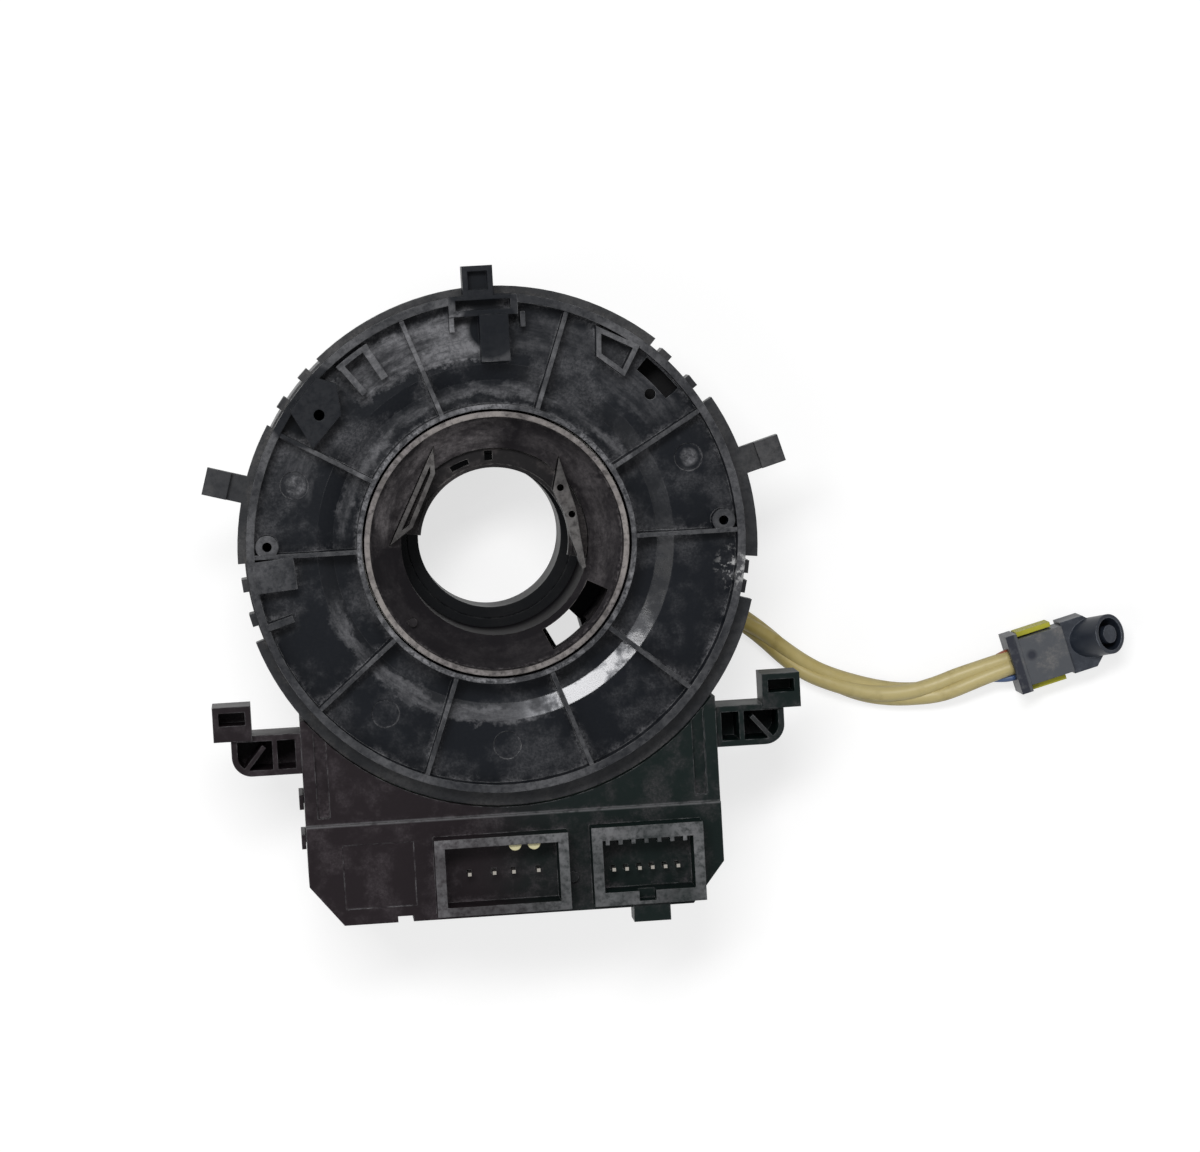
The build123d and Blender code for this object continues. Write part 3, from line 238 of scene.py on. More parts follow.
    def blend(self, mask: object, first: object, second: object) -> Socket:
        """Mixes two colours by a mask and returns the colour.

        Args:
            mask: 0 for the first colour, 1 for the second.
            first: A socket or a colour.
            second: A socket or a colour.

        Returns:
            The mixed colour.
        """
        values = {0: mask}
        for index, part in ((6, first), (7, second)):
            values[index] = (*part, 1.0) if isinstance(part, tuple) else part
        return self.add("ShaderNodeMix", values, data_type="RGBA").outputs[2]

    def mix(self, mask: object, first: object, second: object) -> Socket:
        """Mixes two numbers by a mask and returns the number."""
        values = {0: mask, 2: first, 3: second}
        return self.add("ShaderNodeMix", values, data_type="FLOAT").outputs[0]


@dataclass
class Effects:
    """Shader node groups that several finishes share, each built once.

    Lengths are metres, and a noise scale is in patches to the metre.
    """

    groups: dict[str, bpy.types.NodeTree] = field(default_factory=dict)
    firm_border: float = 0.0008
    soft_border: float = 0.0009
    thin_border: float = 0.0003

    def _group(self, name: str, inputs: dict, outputs: Sequence[str] = ("Mask",)) -> tuple:
        """Starts a group.

        Args:
            name: The group's name.
            inputs: Name and default value of each input, a number or a vector.
            outputs: The outputs' names, of which Normal is a vector and the others are numbers.

        Returns:
            The graph, the input node's sockets and the output node's sockets.
        """
        tree = bpy.data.node_groups.new(name, "ShaderNodeTree")
        for label, value in inputs.items():
            kind = "NodeSocketVector" if isinstance(value, tuple) else "NodeSocketFloat"
            tree.interface.new_socket(label, in_out="INPUT", socket_type=kind).default_value = value
        for label in outputs:
            kind = "NodeSocketVector" if label == "Normal" else "NodeSocketFloat"
            tree.interface.new_socket(label, in_out="OUTPUT", socket_type=kind)
        graph = Graph(tree)
        self.groups[name] = tree
        return graph, graph.add("NodeGroupInput").outputs, graph.add("NodeGroupOutput").inputs

    def build(self) -> None:
        """Makes every shared effect."""
        for make in (
            self._edge_wear_and_highlight, self._moulded_grain, self._settled_dust, self._corner_dust,
            self._ring_dust, self._sector_dust, self._raised_wear, self._polished_slope,
            self._bare_spot, self._dusty_spot, self._stained_band, self._scuffed_spot,
        ):
            make()

    def _edge_wear_and_highlight(self) -> None:
        """Edge wear and a painted edge highlight: how far a rounded normal leans from the face's
        own, broken up by noise.
        """
        inputs = {"Radius": 0.0004, "Gain": 2.5}
        graph, source, sink = self._group("edge_wear_and_highlight", inputs, ("Mask", "Normal"))
        rounded = graph.add("ShaderNodeBevel", {"Radius": source["Radius"]}, samples=4).outputs[0]
        face = graph.add("ShaderNodeNewGeometry").outputs["True Normal"]
        lean = graph.math("SUBTRACT", 1.0, graph.vector("DOT_PRODUCT", rounded, face))
        broken = graph.patches(420.0, detail=4.0, rough=0.65, low=0.36, high=0.66)
        wear_and_highlight = graph.product(lean, source["Gain"], clamp=True)
        # The edge mask paints a pale highlight on rounded edges as well as their wear.
        graph.put(sink["Mask"], graph.product(wear_and_highlight, broken, clamp=True))
        graph.put(sink["Normal"], rounded)

    def _moulded_grain(self) -> None:
        """Height of a moulded skin: fine even grain on slow waves of shrinkage."""
        graph, source, sink = self._group("moulded_grain", {"Scale": 3200.0}, ("Height",))
        fine = graph.noise(source["Scale"], detail=2.0, rough=0.5)
        slow = graph.noise(90.0, detail=2.0, rough=0.5)
        graph.put(sink["Height"], graph.math("ADD", fine, graph.product(slow, 1.6)))

    def _settled_dust(self) -> None:
        """Dust on upward faces: sharp patches of fine specks, thicker towards the upper left."""
        inputs = {"Cover": 0.4, "Patch": 60.0, "Lean": 0.5}
        graph, source, sink = self._group("settled_dust", inputs)
        split = graph.split(graph.place)
        upper = graph.math("SUBTRACT", split["Y"], graph.product(split["X"], 0.35))
        bias = graph.mix(source["Lean"], 1.0, graph.ramp(upper, low=-0.020, high=0.050))
        cloud = graph.patches(source["Patch"], detail=7.0, rough=0.66, low=0.46, high=0.66)
        speck = graph.patches(1700.0, detail=5.0, rough=0.8, low=0.36, high=0.70)
        film = graph.product(graph.math("ADD", cloud, 0.06), graph.math("ADD", speck, 0.40))
        dust = graph.product(film, bias, self._upward(graph), source["Cover"], clamp=True)
        graph.put(sink["Mask"], dust)

    @staticmethod
    def _upward(graph: Graph) -> Socket:
        """How far a face looks up, from 0 on walls to 1 on floors."""
        normal = graph.add("ShaderNodeNewGeometry").outputs["Normal"]
        return graph.ramp(graph.split(normal)["Z"], low=0.15, high=0.95)

    def _corner_dust(self) -> None:
        """Dust swept into corners: how closed in the near surroundings are, broken by specks."""
        graph, source, sink = self._group("corner_dust", {"Reach": 0.0022, "Cover": 0.5})
        closed = graph.add("ShaderNodeAmbientOcclusion", {"Distance": source["Reach"]}, samples=6)
        near = graph.ramp(graph.math("SUBTRACT", 1.0, closed.outputs["AO"]), low=0.12, high=0.50)
        cloud = graph.patches(150.0, detail=5.0, rough=0.65, low=0.42, high=0.62)
        speck = graph.patches(1800.0, detail=3.0, rough=0.7, low=0.38, high=0.64)
        packed = graph.product(near, cloud, graph.math("ADD", speck, 0.25))
        dust = graph.product(packed, self._upward(graph), source["Cover"], clamp=True)
        graph.put(sink["Mask"], dust)

    def _ring_dust(self) -> None:
        """Dust packed around a radius: a bell curve in the distance from the axis, with specks."""
        inputs = {"Radius": 0.028, "Spread": 0.001, "Cover": 0.6}
        graph, source, sink = self._group("ring_dust", inputs)
        off = graph.math("SUBTRACT", graph.radius(), source["Radius"])
        off = graph.math("DIVIDE", off, source["Spread"])
        band = graph.math("EXPONENT", graph.product(off, off, -1.0))
        speck = graph.patches(900.0, detail=5.0, rough=0.75, low=0.40, high=0.62)
        cloud = graph.patches(130.0, detail=3.0, rough=0.6, low=0.34, high=0.62)
        packed = graph.product(band, speck, graph.math("ADD", cloud, 0.2))
        graph.put(sink["Mask"], graph.product(packed, source["Cover"], clamp=True))

    def _sector_dust(self) -> None:
        """A dusty field between two angles and two radii, with ragged borders and fine specks.

        Each vector input holds a start, an end and the width of the border.
        """
        inputs = {"Angles": (90.0, 140.0, 5.0), "Radii": (0.036, 0.047, 0.0012), "Cover": 0.6}
        graph, source, sink = self._group("sector_dust", inputs)
        split = graph.split(graph.place)
        angle = graph.product(graph.math("ARCTAN2", split["Y"], split["X"]), 180.0 / math.pi)
        radius = graph.radius()
        ragged = graph.math("SUBTRACT", graph.noise(190.0, detail=6.0, rough=0.7), 0.5)
        sides = []
        for value, label, shift in ((angle, "Angles", 26.0), (radius, "Radii", 0.008)):
            start, end, border = graph.split(source[label])
            moved = graph.math("ADD", value, graph.product(ragged, shift))
            sides.append(graph.between(moved, start, end, border))
        drawn = {0: graph.product(radius, 3.0), 1: graph.product(angle, 0.00035), 2: 0.0}
        streak = graph.add("ShaderNodeCombineXYZ", drawn).outputs[0]
        cloud = graph.patches(130.0, detail=7.0, rough=0.68, low=0.36, high=0.66, at=streak)
        speck = graph.patches(900.0, detail=6.0, rough=0.8, low=0.28, high=0.72)
        cloud = graph.math("ADD", graph.product(cloud, 0.75), 0.18)
        speck = graph.math("ADD", graph.product(speck, 0.75), 0.35)
        dust = graph.product(*sides, cloud, speck, self._upward(graph), source["Cover"], clamp=True)
        graph.put(sink["Mask"], dust)

    def _raised_wear(self) -> None:
        """Pale wear on the flat tops above a level, broken by fine noise."""
        graph, source, sink = self._group("raised_wear", {"Level": 0.0433, "Cover": 0.7})
        above = graph.math("GREATER_THAN", graph.split(graph.place)["Z"], source["Level"])
        slow = graph.patches(60.0, detail=4.0, rough=0.6, low=0.30, high=0.70)
        fine = graph.patches(700.0, detail=4.0, rough=0.7, low=0.30, high=0.62)
        worn = graph.product(graph.math("ADD", slow, 0.35), graph.math("ADD", fine, 0.35))
        wear = graph.product(above, worn, self._upward(graph), source["Cover"], clamp=True)
        graph.put(sink["Mask"], wear)

    def _polished_slope(self) -> None:
        """Marks the smooth slanted faces between two radii and eases them, as rounded shoulders do.

        The mask is 1 on a slope and 0 on floors and walls, and weaker on the dull sides, towards -X
        and +Y. The normal leans half way back to straight up.
        """
        inputs = {"Inner": 0.0320, "Outer": 0.0365, "Normal": (0.0, 0.0, 1.0)}
        graph, source, sink = self._group("polished_slope", inputs, ("Mask", "Normal"))
        radius = graph.radius()
        facing = graph.split(graph.add("ShaderNodeNewGeometry").outputs["True Normal"])["Z"]
        slope = graph.product(
            graph.math("GREATER_THAN", radius, source["Inner"]),
            graph.math("LESS_THAN", radius, source["Outer"]),
            graph.math("GREATER_THAN", facing, 0.6),
            graph.math("LESS_THAN", facing, 0.97),
        )
        film = graph.patches(90.0, detail=5.0, rough=0.65, low=0.62, high=0.40)
        film = graph.math("ADD", film, 0.35, True)
        split = graph.split(graph.place)
        across = graph.mix(graph.ramp(split["X"], low=0.0005, high=0.0110), 0.16, 0.95)
        along = graph.mix(graph.ramp(split["Y"], low=-0.012, high=0.008), 1.0, 0.22)
        graph.put(sink["Mask"], graph.product(slope, film, across, along))
        eased = graph.vector("NORMALIZE", graph.vector("ADD", source["Normal"], (0.0, 0.0, 1.0)))
        ends = {0: slope, 4: source["Normal"], 5: eased}
        graph.put(sink["Normal"], graph.add("ShaderNodeMix", ends, data_type="VECTOR").outputs[1])

    def _bare_spot(self) -> None:
        """A place that stays clean: 1 inside a ball with a firm border."""
        inputs = {"Centre": (0.0, 0.05, 0.0445), "Reach": 0.006}
        graph, source, sink = self._group("bare_spot", inputs)
        inner = graph.math("SUBTRACT", source["Reach"], self._away(graph, source))
        graph.put(sink["Mask"], graph.math("DIVIDE", inner, self.firm_border, True))

    @staticmethod
    def _away(graph: Graph, source: bpy.types.bpy_prop_collection) -> Socket:
        """The shaded point's distance from the group's centre."""
        return graph.vector("DISTANCE", graph.place, source["Centre"])

    def _dusty_spot(self) -> None:
        """A small dusty patch: a ball with a ragged border, broken by fine noise."""
        inputs = {"Centre": (0.0, 0.05, 0.0445), "Reach": 0.003}
        graph, source, sink = self._group("dusty_spot", inputs)
        ragged = graph.math("SUBTRACT", graph.noise(500.0, detail=4.0, rough=0.65), 0.5)
        away = graph.math("ADD", self._away(graph, source), graph.product(ragged, 0.0016))
        inner = graph.math("SUBTRACT", source["Reach"], away)
        body = graph.math("DIVIDE", inner, self.soft_border, True)
        speck = graph.patches(700.0, detail=6.0, rough=0.8, low=0.30, high=0.80)
        graph.put(sink["Mask"], graph.product(body, speck, clamp=True))

    def _stained_band(self) -> None:
        """A band across a direction: 1 where the place measured along it lies between two ends."""
        inputs = {"Along": (1.0, 0.0, 0.0), "Ends": (0.0, 0.001, 0.0)}
        graph, source, sink = self._group("stained_band", inputs)
        way = graph.vector("DOT_PRODUCT", graph.place, source["Along"])
        start, end, _ = graph.split(source["Ends"])
        patchy = graph.patches(420.0, detail=3.0, rough=0.6, low=0.30, high=0.60)
        patchy = graph.math("ADD", patchy, 0.35, True)
        band = graph.between(way, start, end, self.thin_border)
        graph.put(sink["Mask"], graph.product(band, patchy))

    def _scuffed_spot(self) -> None:
        """Pale scrapes around one place: flakes of noise inside a soft ball."""
        inputs = {"Centre": (0.049, -0.008, 0.040), "Reach": 0.006}
        graph, source, sink = self._group("scuffed_spot", inputs)
        share = graph.math("DIVIDE", self._away(graph, source), source["Reach"])
        near = graph.math("SUBTRACT", 1.0, share, True)
        flake = graph.patches(520.0, detail=5.0, rough=0.7, low=0.51, high=0.60)
        graph.put(sink["Mask"], graph.product(near, flake, clamp=True))

    def place(self, graph: Graph, name: str, **values: object) -> bpy.types.Node:
        """Puts a shared effect into a material.

        Args:
            graph: The material's graph.
            name: The effect's name.
            **values: Its input values by their labels.

        Returns:
            The group node.
        """
        node = graph.add("ShaderNodeGroup", node_tree=self.groups[name])
        for label, value in values.items():
            graph.put(node.inputs[label], value)
        return node

    def mask(self, graph: Graph, name: str, **values: object) -> Socket:
        """Puts a shared effect into a material and returns its mask."""
        return self.place(graph, name, **values).outputs["Mask"]


@dataclass(frozen=True)
class Finish:
    """A finish, from which a material is built when a piece first needs it."""

    name: str
    slot: str
    colour: Colour

    def dress(self, graph: Graph, shader: bpy.types.Node, effects: Effects) -> None:
        """Feeds the shader; each kind of finish has its own way."""
        raise NotImplementedError

    def material(self, effects: Effects) -> bpy.types.Material:
        """Builds the material, or returns the one already built.

        Args:
            effects: The shared effects.

        Returns:
            The material.
        """
        known = bpy.data.materials.get(self.name)
        if known is not None:
            return known
        material = bpy.data.materials.new(self.name)
        material.use_nodes = True
        material.node_tree.nodes.clear()
        graph = Graph(material.node_tree)
        shader = graph.add("ShaderNodeBsdfPrincipled", {"Base Color": (*self.colour, 1.0)})
        graph.add("ShaderNodeOutputMaterial", {"Surface": shader.outputs[0]})
        self.dress(graph, shader, effects)
        return material


@dataclass(frozen=True)
class MouldedPlastic(Finish):
    """Injection moulded plastic with grain, dust, marks, and edges that carry wear and a painted
    highlight.

    A spot is a centre and a reach, a band a direction and its two ends along it, a ring a radius, a
    spread and a cover, and a sector the angles, the radii and the cover of a dusty field.
    """

    gloss: Gloss = Gloss.SATIN
    specular: float = 0.08
    grain: float = 3200.0
    grain_depth: float = 0.000012
    grain_strength: float = 0.6
    edge: float = 0.5
    edge_radius: float = 0.0003
    # Pale colour for wear on tops, lines and edges, and for the painted highlight on the edges.
    wear_and_highlight_colour: Colour = (0.17, 0.17, 0.175)
    dust: float = 0.25
    dust_patch: float = 60.0
    dust_lean: float = 0.5
    dust_colour: Colour = (0.22, 0.205, 0.19)
    dust_rough: float = 0.92
    corner: float = 0.0
    rings: tuple[tuple[float, float, float], ...] = ()
    sectors: tuple[tuple[Point, Point, float], ...] = ()
    spots: tuple[Spot, ...] = ()
    bare: tuple[Spot, ...] = ()
    bare_share: float = 0.8
    top_level: Optional[float] = None
    top_wear: float = 0.7
    worn_line: Optional[Band] = None
    scuff: Optional[Point] = None
    scuff_colour: Colour = (0.60, 0.60, 0.60)
    stain: Optional[Band] = None
    marks: tuple[Spot, ...] = ()
    dark_colour: Colour = (0.008, 0.010, 0.018)
    dark_share: float = 0.75
    slope: Optional[tuple[float, float]] = None
    slope_colour: Colour = (0.042, 0.042, 0.043)
    slope_rough: float = 0.17
    # A greener tint towards +X: a painted reflection.
    second: Optional[Colour] = None

    def _dust_mask(self, graph: Graph, effects: Effects) -> Socket:
        """Joins every kind of dust into one mask.

        Args:
            graph: The material's graph.
            effects: The shared effects.

        Returns:
            The mask's socket.
        """
        patch = {"Patch": self.dust_patch, "Lean": self.dust_lean}
        masks = [effects.mask(graph, "settled_dust", Cover=self.dust, **patch)]
        if self.corner > 0.0:
            masks.append(effects.mask(graph, "corner_dust", Cover=self.corner))
        for radius, spread, cover in self.rings:
            ring = {"Radius": radius, "Spread": spread, "Cover": cover}
            masks.append(effects.mask(graph, "ring_dust", **ring))
        for angles, radii, cover in self.sectors:
            sector = {"Angles": angles, "Radii": radii, "Cover": cover}
            masks.append(effects.mask(graph, "sector_dust", **sector))
        for centre, reach in self.spots:
            masks.append(effects.mask(graph, "dusty_spot", Centre=centre, Reach=reach))
        return graph.most(masks)

    def _wear_and_highlight_mask(self, graph: Graph, effects: Effects, edge: Socket) -> Socket:
        """Joins the edges, with their wear and painted highlight, the worn tops and the worn line.

        Args:
            graph: The material's graph.
            effects: The shared effects.
            edge: The mask of the edges.

        Returns:
            The mask's socket.
        """
        masks = [graph.product(edge, self.edge)]
        if self.top_level is not None:
            wear = {"Level": self.top_level, "Cover": self.top_wear}
            masks.append(effects.mask(graph, "raised_wear", **wear))
        if self.worn_line is not None:
            along, ends = self.worn_line
            line = effects.mask(graph, "stained_band", Along=along, Ends=ends)
            masks.append(graph.product(line, self.top_wear))
        return graph.most(masks)

    def _dark_mask(self, graph: Graph, effects: Effects) -> Optional[Socket]:
        """Joins the stained band and the small dark marks.

        Args:
            graph: The material's graph.
            effects: The shared effects.

        Returns:
            The mask's socket, or None where the finish has neither.
        """
        masks = []
        if self.stain is not None:
            along, ends = self.stain
            masks.append(effects.mask(graph, "stained_band", Along=along, Ends=ends))
        for centre, reach in self.marks:
            masks.append(effects.mask(graph, "bare_spot", Centre=centre, Reach=reach))
        return graph.most(masks) if masks else None

    def _colour_with_painted_reflection(self, graph: Graph) -> object:
        """Drifts from the plastic's colour to a greener tint along +X, a painted reflection.

        Args:
            graph: The material's graph.

        Returns:
            The colour, or the socket that carries it.
        """
        if self.second is None:
            return self.colour
        cloud = graph.math("SUBTRACT", graph.noise(38.0, detail=4.0, rough=0.6), 0.5)
        across = graph.math("ADD", graph.split(graph.place)["X"], graph.product(cloud, 0.06))
        return graph.blend(graph.ramp(across, low=-0.012, high=0.022), self.colour, self.second)

    def dress(self, graph: Graph, shader: bpy.types.Node, effects: Effects) -> None:
        """Layers dust, worn tops, scuffs, and edge wear with a painted edge highlight over the
        plastic's colour.

        Args:
            graph: The material's graph.
            shader: Its Principled shader.
            effects: The shared effects.
        """
        edge = effects.place(graph, "edge_wear_and_highlight", Radius=self.edge_radius).outputs
        normal = edge["Normal"]
        dust = self._dust_mask(graph, effects)
        wear_and_highlight = self._wear_and_highlight_mask(graph, effects, edge["Mask"])
        for centre, reach in self.bare:
            spot = effects.mask(graph, "bare_spot", Centre=centre, Reach=reach)
            dust = graph.spare(dust, spot)
            wear_and_highlight = graph.spare(wear_and_highlight, spot, self.bare_share)
        dark = self._dark_mask(graph, effects)
        if dark is not None:
            dust = graph.spare(dust, dark)
            wear_and_highlight = graph.spare(wear_and_highlight, dark, self.dark_share)
        smear = graph.patches(45.0, detail=4.0, rough=0.6, low=0.35, high=0.7)
        rough = graph.mix(smear, self.gloss.value - 0.05, self.gloss.value + 0.08)
        colour = self._colour_with_painted_reflection(graph)
        if self.slope is not None:
            inner, outer = self.slope
            values = {"Inner": inner, "Outer": outer, "Normal": normal}
            slope = effects.place(graph, "polished_slope", **values).outputs
            normal, shine = slope["Normal"], slope["Mask"]
            dust = graph.spare(dust, shine)
            wear_and_highlight = graph.spare(wear_and_highlight, shine)
            colour = graph.blend(shine, colour, self.slope_colour)
            graph.put(shader.inputs["Metallic"], shine)
        rough = graph.mix(dust, rough, self.dust_rough)
        if self.slope is not None:
            rough = graph.mix(shine, rough, self.slope_rough)
        if dark is not None:
            colour = graph.blend(dark, colour, self.dark_colour)
        colour = graph.blend(dust, colour, self.dust_colour)
        # Pale wear, with a painted highlight along every rounded edge.
        colour = graph.blend(wear_and_highlight, colour, self.wear_and_highlight_colour)
        if self.scuff is not None:
            spot = effects.mask(graph, "scuffed_spot", Centre=self.scuff)
            colour = graph.blend(spot, colour, self.scuff_colour)
        grain = effects.place(graph, "moulded_grain", Scale=self.grain).outputs["Height"]
        skin = {"Height": grain, "Normal": normal, "Distance": self.grain_depth}
        bump = graph.add("ShaderNodeBump", {**skin, "Strength": self.grain_strength})
        shader.inputs["Specular IOR Level"].default_value = self.specular
        graph.put(shader.inputs["Base Color"], colour)
        graph.put(shader.inputs["Roughness"], rough)
        graph.put(shader.inputs["Normal"], bump.outputs[0])


@dataclass(frozen=True)
class PlatedMetal(Finish):
    """Tin plated contact metal with a faint tarnish."""

    clean_rough: float = 0.22
    dull_rough: float = 0.40
    dull_share: float = 0.72

    def dress(self, graph: Graph, shader: bpy.types.Node, effects: Effects) -> None:
        """Sets the metal and lets a slow stain vary its colour and roughness.

        Args:
            graph: The material's graph.
            shader: Its Principled shader.
            effects: The shared effects, which metal leaves unused.
        """
        shader.inputs["Metallic"].default_value = 1.0
        stain = graph.patches(700.0, detail=3.0, rough=0.55, low=0.35, high=0.7)
        dull = tuple(self.dull_share * part for part in self.colour)
        graph.put(shader.inputs["Base Color"], graph.blend(stain, self.colour, dull))
        graph.put(shader.inputs["Roughness"], graph.mix(stain, self.clean_rough, self.dull_rough))


@dataclass(frozen=True)
class WireSleeve(Finish):
    """Soft wire insulation whose tone drifts along the cord, with grime in patches."""

    near: Colour = (0.36, 0.27, 0.055)
    far: Colour = (0.46, 0.385, 0.170)
    grime_colour: Colour = (0.16, 0.115, 0.03)
    grime_cover: float = 0.28
    depth: Point = (0.0012, 0.0010, 0.0004)
    depth_share: float = 0.06
    ripple_depth: float = 0.00004
    ripple_strength: float = 0.5

    def dress(self, graph: Graph, shader: bpy.types.Node, effects: Effects) -> None:
        """Reads the cord's own map: u runs along the length, v round each strand.

        Args:
            graph: The material's graph.
            shader: Its Principled shader.
            effects: The shared effects, which the sleeve leaves unused.
        """
        along = graph.split(graph.add("ShaderNodeUVMap", uv_map="run").outputs[0])["X"]
        cloud = graph.math("SUBTRACT", graph.noise(160.0, detail=4.0, rough=0.6), 0.5)
        drift = graph.math("ADD", along, graph.product(cloud, 0.7))
        tone = graph.blend(graph.ramp(drift, low=0.02, high=0.75), self.near, self.far)
        grime = graph.patches(300.0, detail=4.0, rough=0.6, low=0.50, high=0.80)
        dirty = graph.blend(graph.product(grime, self.grime_cover), tone, self.grime_colour)
        graph.put(shader.inputs["Base Color"], dirty)
        graph.put(shader.inputs["Roughness"], graph.mix(grime, 0.42, 0.70))
        shader.inputs["Subsurface Weight"].default_value = self.depth_share
        shader.inputs["Subsurface Radius"].default_value = self.depth
        skin = {"Height": graph.noise(1400.0, detail=2.0), "Distance": self.ripple_depth}
        ripple = graph.add("ShaderNodeBump", {**skin, "Strength": self.ripple_strength})
        graph.put(shader.inputs["Normal"], ripple.outputs[0])


BLACK = (0.0042, 0.0055, 0.0082)
CASE_BLACK = MouldedPlastic(
    "case_black_dusty", "case_black", BLACK, Gloss.SEMI, edge=1.0, wear_and_highlight_colour=(0.27, 0.27, 0.28),
    dust=0.34, dust_patch=75.0, dust_colour=(0.200, 0.200, 0.212), corner=0.55,
    rings=((0.0276, 0.0007, 0.95),),
    sectors=(
        ((88.0, 131.0, 5.0), (0.0372, 0.0475, 0.0012), 1.40),
        ((131.0, 168.0, 8.0), (0.0372, 0.0470, 0.0015), 0.36),
        ((28.0, 88.0, 8.0), (0.0372, 0.0470, 0.0015), 0.34),
        ((20.0, 178.0, 10.0), (0.0290, 0.0325, 0.0012), 0.85),
        ((-165.0, -76.0, 9.0), (0.0330, 0.0368, 0.0008), 0.80),
    ),
    spots=(((-0.0393, 0.0137, 0.0396), 0.0026), ((0.0398, 0.0148, 0.0396), 0.0021)),
    top_level=0.0430, top_wear=0.15, scuff=(0.0490, -0.0080, 0.0410),
    bare=(
        ((-0.0360, 0.0295, 0.0455), 0.0090),
        ((-0.0005, 0.0535, 0.0446), 0.0080),
        ((0.0010, 0.0430, 0.0440), 0.0065),
    ),
    slope=(0.0320, 0.0365),
)
OUTER_BLACK = MouldedPlastic(
    "case_black_outer", "case_black", BLACK, Gloss.SATIN, edge=0.85, dust=0.20, corner=0.25,
    top_level=0.0370, top_wear=0.12, specular=0.18,
)
HOUSING_BLACK = MouldedPlastic(
    "housing_black_scuffed", "housing_black", (0.0115, 0.0082, 0.0100), Gloss.SATIN, edge=1.0,
    wear_and_highlight_colour=(0.25, 0.25, 0.26), dust=0.24, dust_patch=140.0, dust_lean=0.15, corner=0.45,
    dust_colour=(0.125, 0.108, 0.118), top_level=0.0462, top_wear=0.36,
    # A greener tint towards +X: a painted reflection.
    second=(0.0035, 0.0085, 0.0078),
    worn_line=((0.0, 1.0, 0.0), (-0.05535, -0.05450, 0.0)),
)
ROTOR_BLACK = MouldedPlastic(
    "rotor_black_dusty", "rotor_black", (0.0080, 0.0070, 0.0085), Gloss.MATT, edge=0.8, dust=0.38,
    dust_patch=130.0, dust_lean=0.8, dust_colour=(0.185, 0.170, 0.175), corner=0.30,
    rings=((0.0260, 0.0007, 1.20),),
    sectors=(
        ((78.0, 184.0, 16.0), (0.0150, 0.0256, 0.0010), 1.00),
        ((-40.0, 78.0, 16.0), (0.0150, 0.0256, 0.0010), 0.42),
        ((-182.0, -25.0, 18.0), (0.0205, 0.0256, 0.0010), 0.12),
    ),
    top_level=0.0442, top_wear=0.70, wear_and_highlight_colour=(0.26, 0.24, 0.23),
)
KEY_BLACK = MouldedPlastic(
    "rotor_black_key", "rotor_black", (0.0080, 0.0074, 0.0082), Gloss.SATIN, edge=1.0, dust=0.30,
    dust_patch=150.0, dust_lean=0.2, dust_colour=(0.150, 0.132, 0.130), corner=0.35,
    top_level=0.0385, top_wear=0.30, wear_and_highlight_colour=(0.25, 0.24, 0.235),
)
DISC_BLACK = MouldedPlastic(
    "rotor_black_clean", "rotor_black", (0.0035, 0.0042, 0.0055), Gloss.SATIN, edge=0.45, dust=0.04,
)
INNER_BLACK = MouldedPlastic(
    "inner_black_plain", "inner_black", (0.018, 0.018, 0.019), Gloss.MATT, edge=0.2, dust=0.0,
)
GEAR_WHITE = MouldedPlastic(
    "gear_acetal", "gear_white", (0.62, 0.61, 0.57), Gloss.POLISHED, edge=0.0, dust=0.0,
)
BOARD_GREEN = MouldedPlastic(
    "board_coated", "board_green", (0.012, 0.085, 0.035), Gloss.POLISHED, edge=0.3, dust=0.0,
    wear_and_highlight_colour=(0.30, 0.26, 0.14),
)
CHIP_BLACK = MouldedPlastic(
    "chip_moulded", "chip_black", (0.014, 0.014, 0.014), Gloss.MATT, edge=0.2, dust=0.0,
)
MAGNET_DARK = MouldedPlastic(
    "magnet_sintered", "magnet_dark", (0.045, 0.045, 0.048), Gloss.SATIN, edge=0.3, dust=0.0,
)
CLIP_IVORY = MouldedPlastic(
    "clip_ivory_aged", "clip_ivory", (0.56, 0.52, 0.32), Gloss.SATIN, edge=0.2, dust=0.10,
    wear_and_highlight_colour=(0.75, 0.72, 0.52),
)
CABLE_FILM = MouldedPlastic(
    "cable_film_laminate", "cable_film", (0.45, 0.19, 0.035), Gloss.POLISHED, edge=0.2, dust=0.0,
)
PLUG_GREY = MouldedPlastic(
    "plug_grey_moulded", "plug_grey", (0.056, 0.061, 0.070), Gloss.SATIN, edge=0.9, dust=0.35,
    dust_lean=0.0, dust_patch=190.0, wear_and_highlight_colour=(0.22, 0.23, 0.25), specular=0.3,
    stain=((0.9687, 0.2481, 0.0), (0.0950, 0.0987, 0.0)),
    marks=(((0.1125, -0.0321, 0.0090), 0.0014),),
)
PLUG_DARK = MouldedPlastic(
    "plug_dark_moulded", "plug_dark", (0.0125, 0.0165, 0.0250), Gloss.SATIN, edge=1.0, dust=0.30,
    dust_lean=0.0, dust_patch=190.0, dust_colour=(0.10, 0.11, 0.13),
    wear_and_highlight_colour=(0.20, 0.22, 0.26), specular=0.3,
    marks=(((0.1188, -0.0295, 0.0082), 0.0013), ((0.1200, -0.0332, 0.0082), 0.0013)),
)
LOCK_YELLOW = MouldedPlastic(
    "lock_yellow_aged", "lock_yellow", (0.44, 0.42, 0.045), Gloss.SATIN, edge=0.3, dust=0.20,
    dust_lean=0.0, wear_and_highlight_colour=(0.60, 0.58, 0.15),
)
PIN_METAL = PlatedMetal("pin_tin", "pin_metal", (0.34, 0.32, 0.29))
